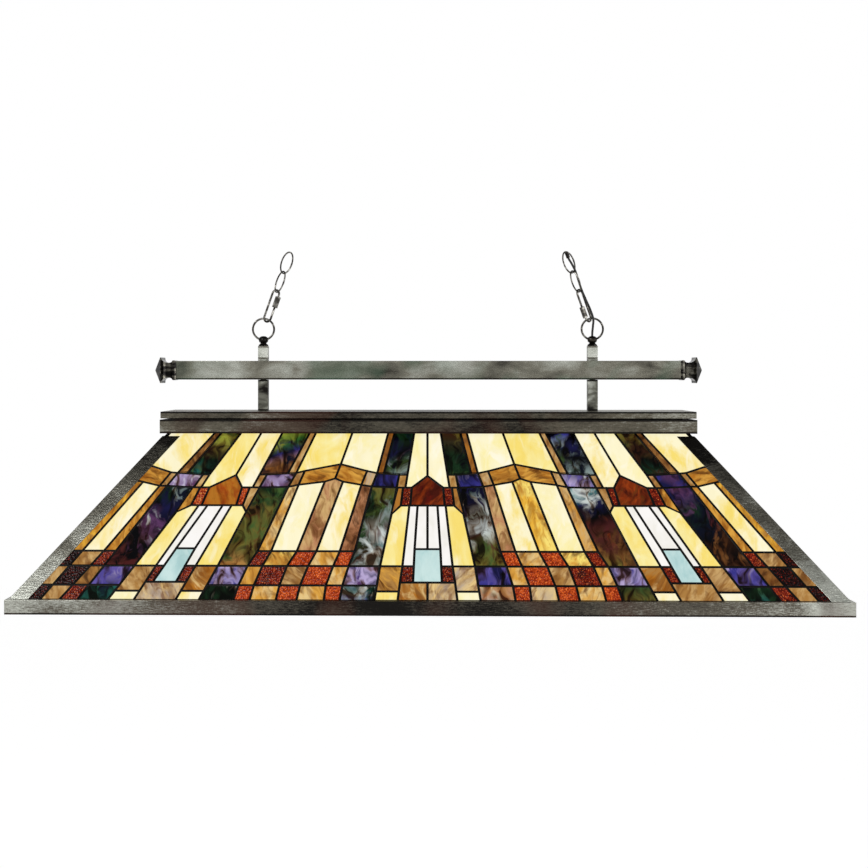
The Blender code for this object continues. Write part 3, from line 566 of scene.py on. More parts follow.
def make_panes(name, panes, turn, distance, materials):
    """All the glass of one panel: a closed prism for each pane, sliced where its colours change."""
    body = bmesh.new()
    # For ripple glass the wisp tone and the share carry its painted glints
    tones = [body.verts.layers.float_color.new(tone) for tone in ("tone_base", "tone_streak", "tone_wisp_and_glint")]
    flow = body.verts.layers.float_vector.new("flow")
    mix = body.verts.layers.float.new("streaks_and_glints")
    for number, item in enumerate(panes):
        chance = random.Random(number * 7 + 3)
        outline = inset(item["outline"], CAME_HALF - 0.45)
        verts = [body.verts.new((x, s, 0)) for x, s in outline]
        sheet = [body.faces.new(verts)]
        glass = item["glass"]
        middle = sum(x for x, _ in outline) / len(outline)
        tilt = chance.uniform(-0.6, 0.6)
        cuts = []
        if isinstance(glass, list):
            levels = [level[0] for level in glass]
            cuts = levels + [(a + b) / 2 for a, b in zip(levels, levels[1:])]
        for level in cuts:
            geometry = list({v for f in sheet for v in f.verts}) + list({e for f in sheet for e in f.edges}) + sheet
            result = bmesh.ops.bisect_plane(body, geom=geometry, plane_co=(middle, level, 0), plane_no=(tilt, 1, 0))
            sheet = [g for g in result["geom"] if isinstance(g, bmesh.types.BMFace)]
        made = bmesh.ops.extrude_face_region(body, geom=sheet, use_keep_orig=True)
        back = [v for v in made["geom"] if isinstance(v, bmesh.types.BMVert)]
        front = list({v for f in sheet for v in f.verts})
        seed = chance.uniform(0, 60)
        angle = item["angle"] + chance.uniform(-0.08, 0.08)
        turn_flow = Matrix.Rotation(angle, 2)
        share = glass[3] if isinstance(glass, tuple) else 0.5
        for verts_here, depth in ((front, GLASS_FACE), (back, GLASS_BACK)):
            for v in verts_here:
                x, s = v.co.x, v.co.y
                across, along = turn_flow @ Vector((x, s))
                v[flow] = Vector((across * 0.01, along * 0.01, seed))
                v[mix] = share
                for layer, colour in zip(tones, level_colours(glass, s + tilt * (x - middle))):
                    v[layer] = colour
                v.co = on_panel(x, s, depth, turn, distance)
        for f in set(sheet) | {f for v in back for f in v.link_faces}:
            f.material_index = KINDS.index(item["kind"])
    bmesh.ops.recalc_face_normals(body, faces=body.faces)
    mesh_data = bpy.data.meshes.new(name)
    body.to_mesh(mesh_data)
    body.free()
    return new_object(name, mesh_data, *materials)


def make_came(name, panes, turn, distance, half_foot, material):
    """Rounded lead along every pane's edge on both faces, a border, and solder at the joints."""
    body = bmesh.new()
    chance = random.Random(11)

    def ring(outline, steps):
        loops = []
        for move, depth in steps:
            moved = inset(outline, move) if move else outline
            loops.append([body.verts.new(on_panel(x, s, depth, turn, distance)) for x, s in moved])
        for a, b in zip(loops, loops[1:]):
            for i in range(len(a)):
                j = (i + 1) % len(a)
                body.faces.new((a[i], a[j], b[j], b[i])).smooth = True

    corners = []
    for item in panes:
        outline = item["outline"]
        ring(outline, ((0, CAME_TOP), (CAME_HALF * 0.55, CAME_SHOULDER), (CAME_HALF, CAME_EDGE)))
        ring(outline, ((CAME_HALF, CAME_BACK_EDGE), (CAME_HALF * 0.55, CAME_BACK - 0.2), (0, CAME_BACK)))
        corners += outline
    border = [
        (-half_foot + 1, -0.5), (half_foot - 1, -0.5),
        (half_foot - LEAN_IN * GLASS_TOP - 1, GLASS_TOP - VIEW_SHIFT + 1),
        (-half_foot + LEAN_IN * GLASS_TOP + 1, GLASS_TOP - VIEW_SHIFT + 1),
    ]
    ring(border, ((0, CAME_BACK), (0, CAME_TOP), (1.4, CAME_TOP), (2.4, CAME_EDGE)))
    joints = []
    for corner in corners:
        if all(math.dist(corner, other) > 2.5 for other in joints):
            joints.append(corner)
    for x, s in joints:
        radius = chance.uniform(1.5, 2.1)
        turn_start = chance.uniform(0, 1)
        rim, crown = [], []
        for i in range(8):
            a = math.tau * (i + turn_start) / 8
            wobble = radius * chance.uniform(0.88, 1.12)
            rim.append(body.verts.new(on_panel(x + wobble * math.cos(a), s + wobble * math.sin(a), 2.2, turn, distance)))
            crown.append(body.verts.new(on_panel(
                x + wobble * 0.55 * math.cos(a), s + wobble * 0.55 * math.sin(a), 1.86, turn, distance)))
        for i in range(8):
            j = (i + 1) % 8
            body.faces.new((rim[i], rim[j], crown[j], crown[i])).smooth = True
        body.faces.new(crown).smooth = True
    bmesh.ops.recalc_face_normals(body, faces=body.faces)
    mesh_data = bpy.data.meshes.new(name)
    body.to_mesh(mesh_data)
    body.free()
    return new_object(name, mesh_data, material)


# Node helpers

class Nodes:
    """Short calls to build a material's node tree."""

    def __init__(self, name):
        self.material = bpy.data.materials.new(name)
        self.material.use_nodes = True
        self.tree = self.material.node_tree
        self.shader = self.tree.nodes["Principled BSDF"]

    def node(self, kind, inputs=None, **settings):
        made = self.tree.nodes.new(kind)
        for key, value in settings.items():
            setattr(made, key, value)
        for key, value in (inputs or {}).items():
            self.put(made.inputs[key], value)
        return made

    def put(self, socket, value):
        if isinstance(value, bpy.types.NodeSocket):
            self.tree.links.new(value, socket)
        else:
            socket.default_value = value

    def math(self, operation, a, b=0.0, clamp=False):
        made = self.node("ShaderNodeMath", {0: a, 1: b}, operation=operation)
        made.use_clamp = clamp
        return made.outputs[0]

    def noise(self, vector, scale, detail=2.0, roughness=0.5, distortion=0.0):
        made = self.node("ShaderNodeTexNoise", {
            "Vector": vector, "Scale": scale, "Detail": detail, "Roughness": roughness, "Distortion": distortion})
        return made.outputs["Fac"]

    def voronoi(self, vector, scale, feature="F1", output="Distance"):
        made = self.node("ShaderNodeTexVoronoi", {"Vector": vector, "Scale": scale}, feature=feature)
        return made.outputs[output]

    def stretch(self, vector, scale):
        made = self.node("ShaderNodeMapping", {"Vector": vector, "Scale": scale})
        return made.outputs["Vector"]

    def ramp(self, value, low, high, to_low=0.0, to_high=1.0):
        made = self.node("ShaderNodeMapRange", {
            "Value": value, "From Min": low, "From Max": high, "To Min": to_low, "To Max": to_high})
        made.clamp = True
        return made.outputs["Result"]

    def blend(self, factor, a, b, mode="MIX"):
        made = self.node("ShaderNodeMix", data_type="RGBA", blend_type=mode)
        self.put(made.inputs["Factor"], factor)
        self.put(made.inputs["A"], a)
        self.put(made.inputs["B"], b)
        return made.outputs["Result"]

    def attribute(self, name, output="Color"):
        return self.node("ShaderNodeAttribute", attribute_name=name).outputs[output]

    def bump(self, height, strength, distance, normal=None):
        made = self.node("ShaderNodeBump", {"Height": height, "Strength": strength, "Distance": distance})
        if normal is not None:
            self.put(made.inputs["Normal"], normal)
        return made.outputs["Normal"]

    def set(self, **inputs):
        for key, value in inputs.items():
            self.put(self.shader.inputs[key.replace("_", " ")], value)
        return self.material


# Strength of the glow painted into the glass, standing in for lamp light shining through it
PAINTED_GLOW = 0.98


def darkened(n, colour, shade):
    """The colour, darkened by a number that varies over the surface. It turns browner as it darkens."""
    tint = n.node("ShaderNodeCombineColor", {
        "Red": n.math("POWER", shade, 0.75), "Green": shade, "Blue": n.math("POWER", shade, 1.2)}).outputs[0]
    return n.blend(1.0, colour, tint, "MULTIPLY")


def finish_glass(n, colour, relief, strength, distance, roughness):
    """Painted glow: the colour is given off as light, standing in for the lamps shining through from behind, and a
    little of it is seen by reflected light.
    """
    dimmed = n.blend(1.0, colour, (0.06, 0.06, 0.06, 1.0), "MULTIPLY")
    return n.set(
        Base_Color=dimmed, Emission_Color=colour, Emission_Strength=PAINTED_GLOW, Roughness=roughness, IOR=1.5,
        Specular_IOR_Level=0.22, Normal=n.bump(relief, strength, distance),
    )


def art_glass(name, warp, width, length, softness, veins):
    """Opalescent sheet glass: curling streaks of two colours, wisps of a third, and darker veins.

    width and length are how many streaks there are in 100 mm, across and along them.
    """
    n = Nodes(name)
    flow = n.attribute("flow", "Vector")
    share = n.attribute("streaks_and_glints", "Fac")
    curl = n.node("ShaderNodeTexNoise", {"Vector": n.stretch(flow, (3.2, 1.8, 1.0)), "Scale": 1.0, "Detail": 2.0})
    moved = n.node("ShaderNodeVectorMath", {0: curl.outputs["Color"], 1: (0.5, 0.5, 0.5)}, operation="SUBTRACT")
    moved = n.node("ShaderNodeVectorMath", {0: moved.outputs[0], 1: (warp, warp, 0.0)}, operation="MULTIPLY")
    flow = n.node("ShaderNodeVectorMath", {0: flow, 1: moved.outputs[0]}, operation="ADD").outputs[0]
    broad = n.noise(n.stretch(flow, (width, length, 1.0)), 1.0, 5.0, 0.6, 0.5)
    thin = n.noise(n.stretch(flow, (width * 3.2, length * 1.7, 1.3)), 1.0, 3.0, 0.55, 0.4)
    level = n.math("ADD", n.math("MULTIPLY", broad, 0.8), n.math("MULTIPLY", thin, 0.2))
    middle = n.math("SUBTRACT", 0.62, n.math("MULTIPLY", share, 0.24))
    streak = n.math("ADD", n.math("DIVIDE", n.math("SUBTRACT", level, middle), softness), 0.5, clamp=True)
    wisp_noise = n.noise(n.stretch(flow, (width * 1.5, length * 1.2, 2.1)), 1.0, 4.0, 0.55, 0.9)
    wisp = n.ramp(wisp_noise, 0.55 - softness * 0.2, 0.58 + softness * 0.5)
    colour = n.blend(streak, n.attribute("tone_base"), n.attribute("tone_streak"))
    colour = n.blend(n.math("MULTIPLY", wisp, 0.75), colour, n.attribute("tone_wisp_and_glint"))
    vein = n.noise(n.stretch(flow, (width * 1.7, length * 0.9, 3.7)), 1.0, 3.0, 0.55, 0.9)
    colour = darkened(n, colour, n.ramp(vein, 0.36, 0.54, 1.0 - veins, 1.0))
    relief = n.noise(n.stretch(flow, (7.0, 3.5, 1.0)), 1.5, 3.0)
    return finish_glass(n, colour, relief, 0.2, 0.0006, 0.18)


def ripple_glass():
    """Red and orange hammered glass, with painted light: bright glints painted where its facets would catch the lamp,
    and painted shade towards each facet's rim.
    """
    n = Nodes("ripple_glass")
    flow = n.attribute("flow", "Vector")
    curls = n.noise(n.stretch(flow, (30.0, 22.0, 1.0)), 1.2, 3.0, 0.6, 2.2)
    cells = n.voronoi(n.stretch(flow, (44.0, 34.0, 1.0)), 1.0)
    big = n.noise(n.stretch(flow, (6.0, 5.0, 1.0)), 1.2, 2.0, 0.5, 0.5)
    share = n.attribute("streaks_and_glints", "Fac")
    tone = n.ramp(n.math("ADD", n.math("MULTIPLY", curls, 0.7), n.math("MULTIPLY", big, 0.3)), 0.42, 0.56)
    colour = n.blend(tone, n.attribute("tone_base"), n.attribute("tone_streak"))
    # Painted glints: bright flecks of the third colour where the curls peak near a facet's middle
    painted_glint = n.math("MULTIPLY", n.ramp(curls, 0.54, 0.60), n.ramp(cells, 0.55, 0.20))
    colour = n.blend(n.math("MULTIPLY", painted_glint, share), colour, n.attribute("tone_wisp_and_glint"))
    # Painted light and shade on the facets: brighter at each facet's middle, darker towards its rim
    colour = darkened(n, colour, n.ramp(cells, 0.20, 0.75, 1.15, 0.30))
    return finish_glass(n, colour, cells, 0.6, 0.0015, 0.14)


def lead():
    """Blackened came and solder."""
    n = Nodes("lead_came")
    place = n.node("ShaderNodeTexCoord").outputs["Object"]
    patch = n.noise(place, 60.0, 4.0, 0.6)
    colour = n.blend(n.ramp(patch, 0.35, 0.7), (0.002, 0.002, 0.002, 1), (0.006, 0.0055, 0.005, 1))
    grain = n.noise(place, 700.0, 3.0, 0.6)
    return n.set(
        Base_Color=colour, Specular_IOR_Level=0.1, Roughness=n.ramp(patch, 0.3, 0.7, 0.3, 0.5),
        Normal=n.bump(grain, 0.4, 0.0004),
    )


def aged_bronze(name, dark, mid, light, cloud=(8.0, 0.5), speck=0.15, ends=None, foot=0.0, painted_shade_lines=(),
                gloss=(0.28, 0.42), relief=0.0003, tint=None):
    """Mottled patina over brushed and hammered metal, with painted reflection and painted shade where asked.

    cloud is the scale and strength of the mottling, and speck the strength of the fine pits.
    ends is (near, far): a painted reflection, paler beyond far from the middle of the light, and darker within near.
    foot makes it paler towards the foot of the shade, and at each height in the painted shade lines an edge is darkened
    with painted shade.
    """
    n = Nodes(name)
    place = n.node("ShaderNodeTexCoord").outputs["Object"]
    parts = n.node("ShaderNodeSeparateXYZ", {0: place}).outputs
    facing = n.node("ShaderNodeSeparateXYZ", {0: n.node("ShaderNodeTexCoord").outputs["Normal"]}).outputs["Z"]
    upright = n.ramp(n.math("ABSOLUTE", facing), 0.8, 0.3)
    clouds = n.noise(n.stretch(place, (cloud[0], cloud[0], cloud[0] * 2)), 1.0, 3.0, 0.5, 0.4)
    grain = n.noise(n.stretch(place, (130.0, 130.0, 620.0)), 1.0, 3.0, 0.6)
    pits = n.noise(place, 520.0, 3.0, 0.7)
    level = n.math("MULTIPLY", n.math("SUBTRACT", clouds, 0.5), cloud[1] * 2)
    fine = n.math("SUBTRACT", n.math("ADD", n.math("MULTIPLY", grain, 0.6), n.math("MULTIPLY", pits, 0.4)), 0.5)
    level = n.math("ADD", level, n.math("MULTIPLY", fine, speck * 4))
    level = n.math("ADD", level, 0.5)
    # Painted reflection: darker in the middle of the light's length, paler towards its ends
    if ends:
        reach = n.math("ABSOLUTE", parts["X"])
        level = n.math("ADD", level, n.ramp(reach, ends[0], ends[1], -0.36, 0.30))
    if foot:
        level = n.math("ADD", level, n.ramp(parts["Z"], 0.03, 0.24, foot, -foot))
    # Painted shade: a dark line on upright faces at each given height, where an edge or gap lies in shade
    for line in painted_shade_lines:
        away = n.math("ABSOLUTE", n.math("SUBTRACT", parts["Z"], line))
        level = n.math("SUBTRACT", level, n.math("MULTIPLY", upright, n.ramp(away, 0.0012, 0.0028, 1.2, 0.0)))
    colour = n.blend(n.ramp(level, 0.10, 0.50), dark, mid)
    colour = n.blend(n.ramp(level, 0.50, 0.90), colour, light)
    if tint:
        colour = n.blend(n.ramp(n.noise(place, 9.0, 2.0, 0.5, 0.6), 0.50, 0.66, 0.0, 0.5), colour, tint)
    return n.set(
        Base_Color=colour, Metallic=0.85, Roughness=n.ramp(pits, 0.3, 0.7, *gloss),
        Normal=n.bump(n.math("ADD", grain, pits), 0.6, relief),
    )


SILVER, PEWTER, SOOT = srgb(0.78, 0.79, 0.75), srgb(0.44, 0.43, 0.39), srgb(0.09, 0.08, 0.07)
RUSSET, VERDIGRIS = srgb(0.24, 0.12, 0.08), srgb(0.33, 0.44, 0.36)

# Painted shade lines: the shadow gaps of the ridge, the lower edges of the rim and crossbar, and the ends of posts and
# stubs
bronze = aged_bronze("aged_bronze", SOOT, srgb(0.46, 0.46, 0.42), SILVER, (26.0, 1.3), 0.12, painted_shade_lines=(0.2878, 0.3373))
stub_bronze = aged_bronze("stub_bronze", PEWTER, SILVER, srgb(0.90, 0.90, 0.87), (30.0, 0.6), 0.06,
                          painted_shade_lines=(0.3709, 0.3914))
finial_bronze = aged_bronze("finial_bronze", srgb(0.03, 0.03, 0.03), srgb(0.14, 0.13, 0.12), PEWTER, (60.0, 1.6), 0.08,
                            gloss=(0.10, 0.20), relief=0.0001)
ridge_bronze = aged_bronze("ridge_bronze", SOOT, srgb(0.40, 0.38, 0.33), SILVER, (9.0, 0.55), 0.22, (0.02, 0.55),
                           painted_shade_lines=(0.2536, 0.2748, 0.2874), tint=RUSSET)
rim_bronze = aged_bronze("rim_bronze", SOOT, srgb(0.38, 0.36, 0.32), SILVER, (9.0, 0.5), 0.34, (0.12, 0.60),
                         painted_shade_lines=(0.0,), relief=0.0006, tint=RUSSET)
hip_bronze = aged_bronze("hip_bronze", SOOT, PEWTER, SILVER, (10.0, 0.6), 0.28, foot=0.42, relief=0.0009)
bar_bronze = aged_bronze("bar_bronze", srgb(0.16, 0.15, 0.13), srgb(0.53, 0.52, 0.47), SILVER, (12.0, 0.95), 0.10,
                         painted_shade_lines=(0.3376,), gloss=(0.24, 0.34), relief=0.0001, tint=VERDIGRIS)
chain_bronze = aged_bronze("chain_bronze", srgb(0.06, 0.05, 0.05), srgb(0.30, 0.29, 0.27), srgb(0.70, 0.69, 0.66),
                           (70.0, 0.9), 0.10, gloss=(0.12, 0.26), relief=0.0001)
dark_bronze = aged_bronze("dark_bronze", srgb(0.03, 0.03, 0.03), srgb(0.10, 0.09, 0.08), srgb(0.30, 0.28, 0.25),
                          (60.0, 0.6), 0.06, gloss=(0.12, 0.22), relief=0.0001)


def plain_metal(name, dark, light, roughness, thread=0.0):
    """Plated metal with a fine turned or rolled grain. thread is the pitch of a screw thread up it."""
    n = Nodes(name)
    place = n.node("ShaderNodeTexCoord").outputs["Object"]
    clouds = n.noise(place, 60.0, 3.0, 0.6)
    grain = n.noise(n.stretch(place, (900.0, 900.0, 90.0)), 1.0, 2.0)
    relief, distance = grain, 0.00008
    if thread:
        height = n.node("ShaderNodeSeparateXYZ", {0: place}).outputs["Z"]
        relief, distance = n.math("SINE", n.math("MULTIPLY", height, math.tau / thread)), 0.0004
    return n.set(
        Base_Color=n.blend(n.ramp(clouds, 0.35, 0.65), dark, light), Metallic=1.0,
        Roughness=n.ramp(grain, 0.3, 0.7, roughness - 0.06, roughness + 0.08), Normal=n.bump(relief, 0.7, distance),
    )


def matt(name, dark, light, scale, roughness, weave=False):
    """Moulded plastic, or woven cover if weave is set."""
    n = Nodes(name)
    place = n.node("ShaderNodeTexCoord").outputs["Object"]
    fine = n.noise(place, scale, 3.0, 0.6)
    if weave:
        fine = n.voronoi(n.stretch(place, (scale, scale, scale * 0.6)), 1.0)
    return n.set(
        Base_Color=n.blend(n.ramp(fine, 0.2, 0.75), dark, light), Roughness=roughness,
        Normal=n.bump(fine, 0.5, 0.0003 if weave else 0.00006),
    )


def frosted_lamp():
    """Frosted glass over a lit filament: brightest at its middle, dimmer towards the neck."""
    n = Nodes("frosted_lamp")
    place = n.node("ShaderNodeTexCoord").outputs["Object"]
    height = n.node("ShaderNodeSeparateXYZ", {0: place}).outputs["Z"]
    frost = n.noise(place, 900.0, 2.0)
    warm = n.blend(n.ramp(height, 0.165, 0.215), srgb(1.0, 0.90, 0.68), srgb(1.0, 0.76, 0.46))
    strength = n.math("MULTIPLY", n.ramp(height, 0.172, 0.220, 1.7, 0.6), n.ramp(frost, 0.3, 0.7, 0.94, 1.0))
    return n.set(
        Base_Color=srgb(0.93, 0.92, 0.88), Roughness=0.45, Emission_Color=warm, Emission_Strength=strength,
        Normal=n.bump(frost, 0.2, 0.00005),
    )


steel = plain_metal("plated_steel", srgb(0.45, 0.45, 0.44), srgb(0.66, 0.65, 0.63), 0.32)
thread_steel = plain_metal("threaded_steel", srgb(0.42, 0.41, 0.38), srgb(0.62, 0.60, 0.55), 0.34, 0.0011)
brass = plain_metal("lamp_brass", srgb(0.66, 0.50, 0.24), srgb(0.84, 0.69, 0.40), 0.26)
phenolic = matt("phenolic", srgb(0.09, 0.07, 0.06), srgb(0.15, 0.12, 0.10), 240.0, 0.42)
cord_cover = matt("cord_cover", srgb(0.01, 0.01, 0.01), srgb(0.07, 0.06, 0.055), 1500.0, 0.6, weave=True)
frosted = frosted_lamp()

glass_materials = (
    art_glass("opal_glass", 0.16, 3.0, 1.5, 0.20, 0.03),
    art_glass("wispy_glass", 0.22, 5.0, 2.6, 0.16, 0.50),
    art_glass("swirl_glass", 0.45, 3.4, 2.4, 0.12, 0.95),
    ripple_glass(),
)
lead_material = lead()

for label, (turn, distance, half_foot) in SHADE_SIDES.items():
    panes = fitted_panes(half_foot)
    glass_object = make_panes(f"panes_{label}", panes, turn, distance, glass_materials)
    came_object = make_came(f"came_{label}", panes, turn, distance, half_foot, lead_material)
    for piece in (glass_object, came_object):
        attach(piece, "root")
    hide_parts(f"glass_{label}")
    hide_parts(f"glass_{label}")


# Round wire: rings, links and the cord

POST_X, BALL_Z = 0.2643, 0.4016
RING_RADIUS, RING_WIRE, RING_END_X = 0.0171, 0.00165, 0.004
CHAIN_LEAN = math.radians(19.3)
LINK_WIRE, LINK_HALF_WIDTH, LINK_SPAN = 0.0017, 0.0073, (-0.0041, 0.0495)
CHAIN_WIRE, CHAIN_HALF_WIDTH = 0.00125, 0.00925
CHAIN_SPANS = ((0.04605, 0.08155), (0.07855, 0.11405))
TWISTS = {-1: (50, -46, 33), 1: (50, -58, 22)}
LINK_GAP = {-1: (0.0335, 0.0395), 1: (0.005, 0.011)}
CORD_RADIUS = 0.00175
SIDE_NAMES = {-1: "left", 1: "right"}


def chain_axes(side, twist):
    """Directions across a link, square to it, and along the chain."""
    lean, turn = -side * CHAIN_LEAN, math.radians(twist)
    along = Vector((math.sin(lean), 0, math.cos(lean)))
    level = Vector((math.cos(lean), 0, -math.sin(lean)))
    across = level * math.cos(turn) + Vector((0, math.sin(turn), 0))
    return across, along.cross(across), along


def chain_point(side, twist, u, v, w):
    """A point by a chain: u across the link, v square to it, and w above the ring's wire."""
    across, square, along = chain_axes(side, twist)
    centre = Vector((side * POST_X, 0, BALL_Z + RING_RADIUS))
    return centre + along * (RING_RADIUS + w) + across * u + square * v


def round_wire(name, points, radii, square, material, closed=False, sides=16):
    """Wire of these radii through the points. square is a direction about square to it."""
    data = bpy.data.meshes.new(name)
    body = bmesh.new()
    turns = [math.tau * k / sides for k in range(sides)]
    rings = []
    last = len(points) - 1
    for i, (point, radius) in enumerate(zip(points, radii)):
        before = points[i - 1] if closed or i else point
        after = points[(i + 1) % len(points)] if closed or i < last else point
        tangent = (after - before).normalized()
        a = (square - tangent * square.dot(tangent)).normalized() * radius
        b = tangent.cross(a)
        rings.append([body.verts.new(point + a * math.cos(t) + b * math.sin(t)) for t in turns])
    loops = rings + rings[:1] if closed else rings
    for low, high in zip(loops, loops[1:]):
        for k in range(sides):
            after = (k + 1) % sides
            body.faces.new((low[k], low[after], high[after], high[k])).smooth = True
    if not closed:
        body.faces.new(rings[0][::-1])
        body.faces.new(rings[-1])
    bmesh.ops.recalc_face_normals(body, faces=body.faces)
    body.to_mesh(data)
    body.free()
    return new_object(name, data, material)


def stand_in(piece, body_name, slot, *nodes):
    """The piece takes these CAD nodes' place on the body."""
    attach(piece, body_name)
    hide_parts(*nodes)


def make_ring(side):
    """A split ring."""
    opening = math.asin(RING_END_X / RING_RADIUS)
    turns = [opening + (math.tau - 2 * opening) * i / 72 for i in range(73)]
    points = [
        Vector((side * POST_X + RING_RADIUS * math.sin(a), 0, BALL_Z + RING_RADIUS * (1 - math.cos(a)))) for a in turns]
    label = f"ring_{SIDE_NAMES[side]}"
    piece = round_wire(f"{label}_wire", points, [RING_WIRE] * 73, Vector((0, 1, 0)), chain_bronze)
    stand_in(piece, label, "aged_bronze", label)


def make_quick_link(side):
    """A long link whose threaded leg ends inside its sleeve nut."""
    half = LINK_HALF_WIDTH
    low, high = LINK_SPAN[0] + half, LINK_SPAN[1] - half
    gap_low, gap_high = LINK_GAP[side]
    leg = -side * half
    turns = [math.pi * i / 20 for i in range(21)]
    top = [(leg * math.cos(a), high + half * math.sin(a)) for a in turns]
    bottom = [(-leg * math.cos(a), low - half * math.sin(a)) for a in turns]
    outline = [(leg, gap_high), *top, *bottom, (leg, gap_low)]
    twist = TWISTS[side][0]
    points = [chain_point(side, twist, u, 0, w) for u, w in outline]
    label = f"quick_link_{SIDE_NAMES[side]}"
    square = chain_axes(side, twist)[1]
    piece = round_wire(f"{label}_wire", points, [LINK_WIRE] * len(points), square, chain_bronze)
    stand_in(piece, label, "aged_bronze", label)


def make_chain_link(side, number):
    """An oval link of round wire, with the swelling of its weld on one side."""
    low, high = CHAIN_SPANS[number]
    twist = TWISTS[side][number + 1]
    turns = [math.tau * i / 64 for i in range(64)]
    points = [
        chain_point(side, twist, CHAIN_HALF_WIDTH * math.sin(a), 0, (low + high) / 2 + (high - low) / 2 * math.cos(a))
        for a in turns]
    radii = [CHAIN_WIRE * (1 + 0.14 * math.exp(-((a - math.pi / 2) / 0.12) ** 2)) for a in turns]
    label = f"{SIDE_NAMES[side]}_{number + 1}"
    square = chain_axes(side, twist)[1]
    piece = round_wire(f"link_{label}_wire", points, radii, square, chain_bronze, closed=True)
    stand_in(piece, f"chain_{label}", "aged_bronze", f"chain_link_{label}")


for end in (-1, 1):
    make_ring(end)
    make_quick_link(end)
    make_chain_link(end, 0)
    make_chain_link(end, 1)


def smooth_curve(points, spacing):
    """Points about this far apart on a smooth curve through the given ones."""
    ends = [2 * points[0] - points[1], *points, 2 * points[-1] - points[-2]]
    found = []
    for a, b, c, d in zip(ends, ends[1:], ends[2:], ends[3:]):
        steps = max(1, round((c - b).length / spacing))
        for i in range(steps):
            t = i / steps
            bend = (2 * a - 5 * b + 4 * c - d) * t + (3 * b - a - 3 * c + d) * t**2
            found.append(b + (c - a + bend) * t / 2)
    return found + [points[-1]]


def make_cord():
    """The cord up the right post and chain, in four lengths, one for each hinge along it."""
    route = [Vector((POST_X, 0, z)) for z in (0.2525, 0.300, 0.350, 0.395, 0.4115)]
    route += [Vector((POST_X + 0.0008, -0.0026, 0.4235)), Vector((POST_X + 0.0010, -0.0055, 0.4345))]
    beside = (
        (0.0067, -0.0052, 0.0120), (0.0056, -0.0026, 0.0310), (0.0047, -0.0003, 0.0478), (0.0049, -0.0004, 0.0640),
        (0.0050, -0.0016, 0.0800), (0.0030, -0.0042, 0.0930), (0.0010, -0.0053, 0.1015), (0.0009, -0.0052, 0.109),
    )
    route += [chain_point(1, 0, *place) for place in beside]
    points = smooth_curve(route, 0.0025)
    along = chain_axes(1, 0)[2]
    start = chain_point(1, 0, 0, 0, 0)
    heights = [(point - start).dot(along) for point in points]
    # The bodies on each side of a hinge, where the length ends, and where it starts and stops bending
    lengths = (
        ("root", "ring_right", -0.0125, -0.0340, -0.0140),
        ("ring_right", "quick_link_right", 0.020, -0.0120, 0.003),
        ("quick_link_right", "chain_right_1", 0.062, 0.040, 0.060),
        ("chain_right_1", "chain_right_2", 1.0, 0.073, 0.091),
    )
    first = 0
    for number, (lower, upper, stop, bend_low, bend_high) in enumerate(lengths, 1):
        last = max(i for i, height in enumerate(heights) if height <= stop)
        part = points[first:last + 1]
        piece = round_wire(f"cord_{number}", part, [CORD_RADIUS] * len(part), Vector((1, 0, 0)), cord_cover, sides=12)
        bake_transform(piece)
        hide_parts("supply_cord")
        first = last


make_cord()


# Lamps and sockets

def lathe(name, profile, x, material, steps=56):
    """Turns a profile of (radius, height) about the upright line at x. It starts and ends on the axis."""
    data = bpy.data.meshes.new(name)
    body = bmesh.new()
    turns = [math.tau * k / steps for k in range(steps)]
    rings = []
    for radius, z in profile:
        if radius == 0:
            rings.append([body.verts.new((x, 0, z))] * steps)
        else:
            rings.append([body.verts.new((x + radius * math.cos(t), radius * math.sin(t), z)) for t in turns])
    for low, high in zip(rings, rings[1:]):
        for k in range(steps):
            after = (k + 1) % steps
            corners = list(dict.fromkeys((low[k], low[after], high[after], high[k])))
            body.faces.new(corners).smooth = True
    bmesh.ops.recalc_face_normals(body, faces=body.faces)
    body.to_mesh(data)
    body.free()
    piece = new_object(name, data, material)
    sharp = piece.modifiers.new("creases", "EDGE_SPLIT")
    sharp.split_angle = math.radians(40)
    return piece


def bulb_profile():
    neck, neck_z, shoulder_z, middle_z, radius = 0.0127, 0.2219, 0.2170, 0.1685, 0.030
    profile = [(0, neck_z), (neck, neck_z)]
    for i in range(18):
        t = i / 18
        profile.append((neck + (radius - neck) * (1 - math.cos(math.pi * t)) / 2, shoulder_z + (middle_z - shoulder_z) * t))
    for i in range(14):
        angle = math.pi / 2 * i / 14
        profile.append((radius * math.cos(angle), middle_z - radius * math.sin(angle)))
    return profile + [(0, middle_z - radius)]


def base_profile():
    """A screw base: the contact, the ring round it, and seven turns of thread."""
    profile = [(0, 0.2485), (0.0040, 0.2485), (0.0045, 0.2481), (0.0110, 0.2455)]
    steps = 56
    for i in range(steps + 1):
        t = i / steps
        ripple = 0.0004 * (1 - math.cos(math.tau * 7 * t))
        profile.append((0.0122 + ripple, 0.2450 - 0.0215 * t))
    return profile + [(0.0128, 0.2228), (0.0128, 0.2222), (0, 0.2222)]


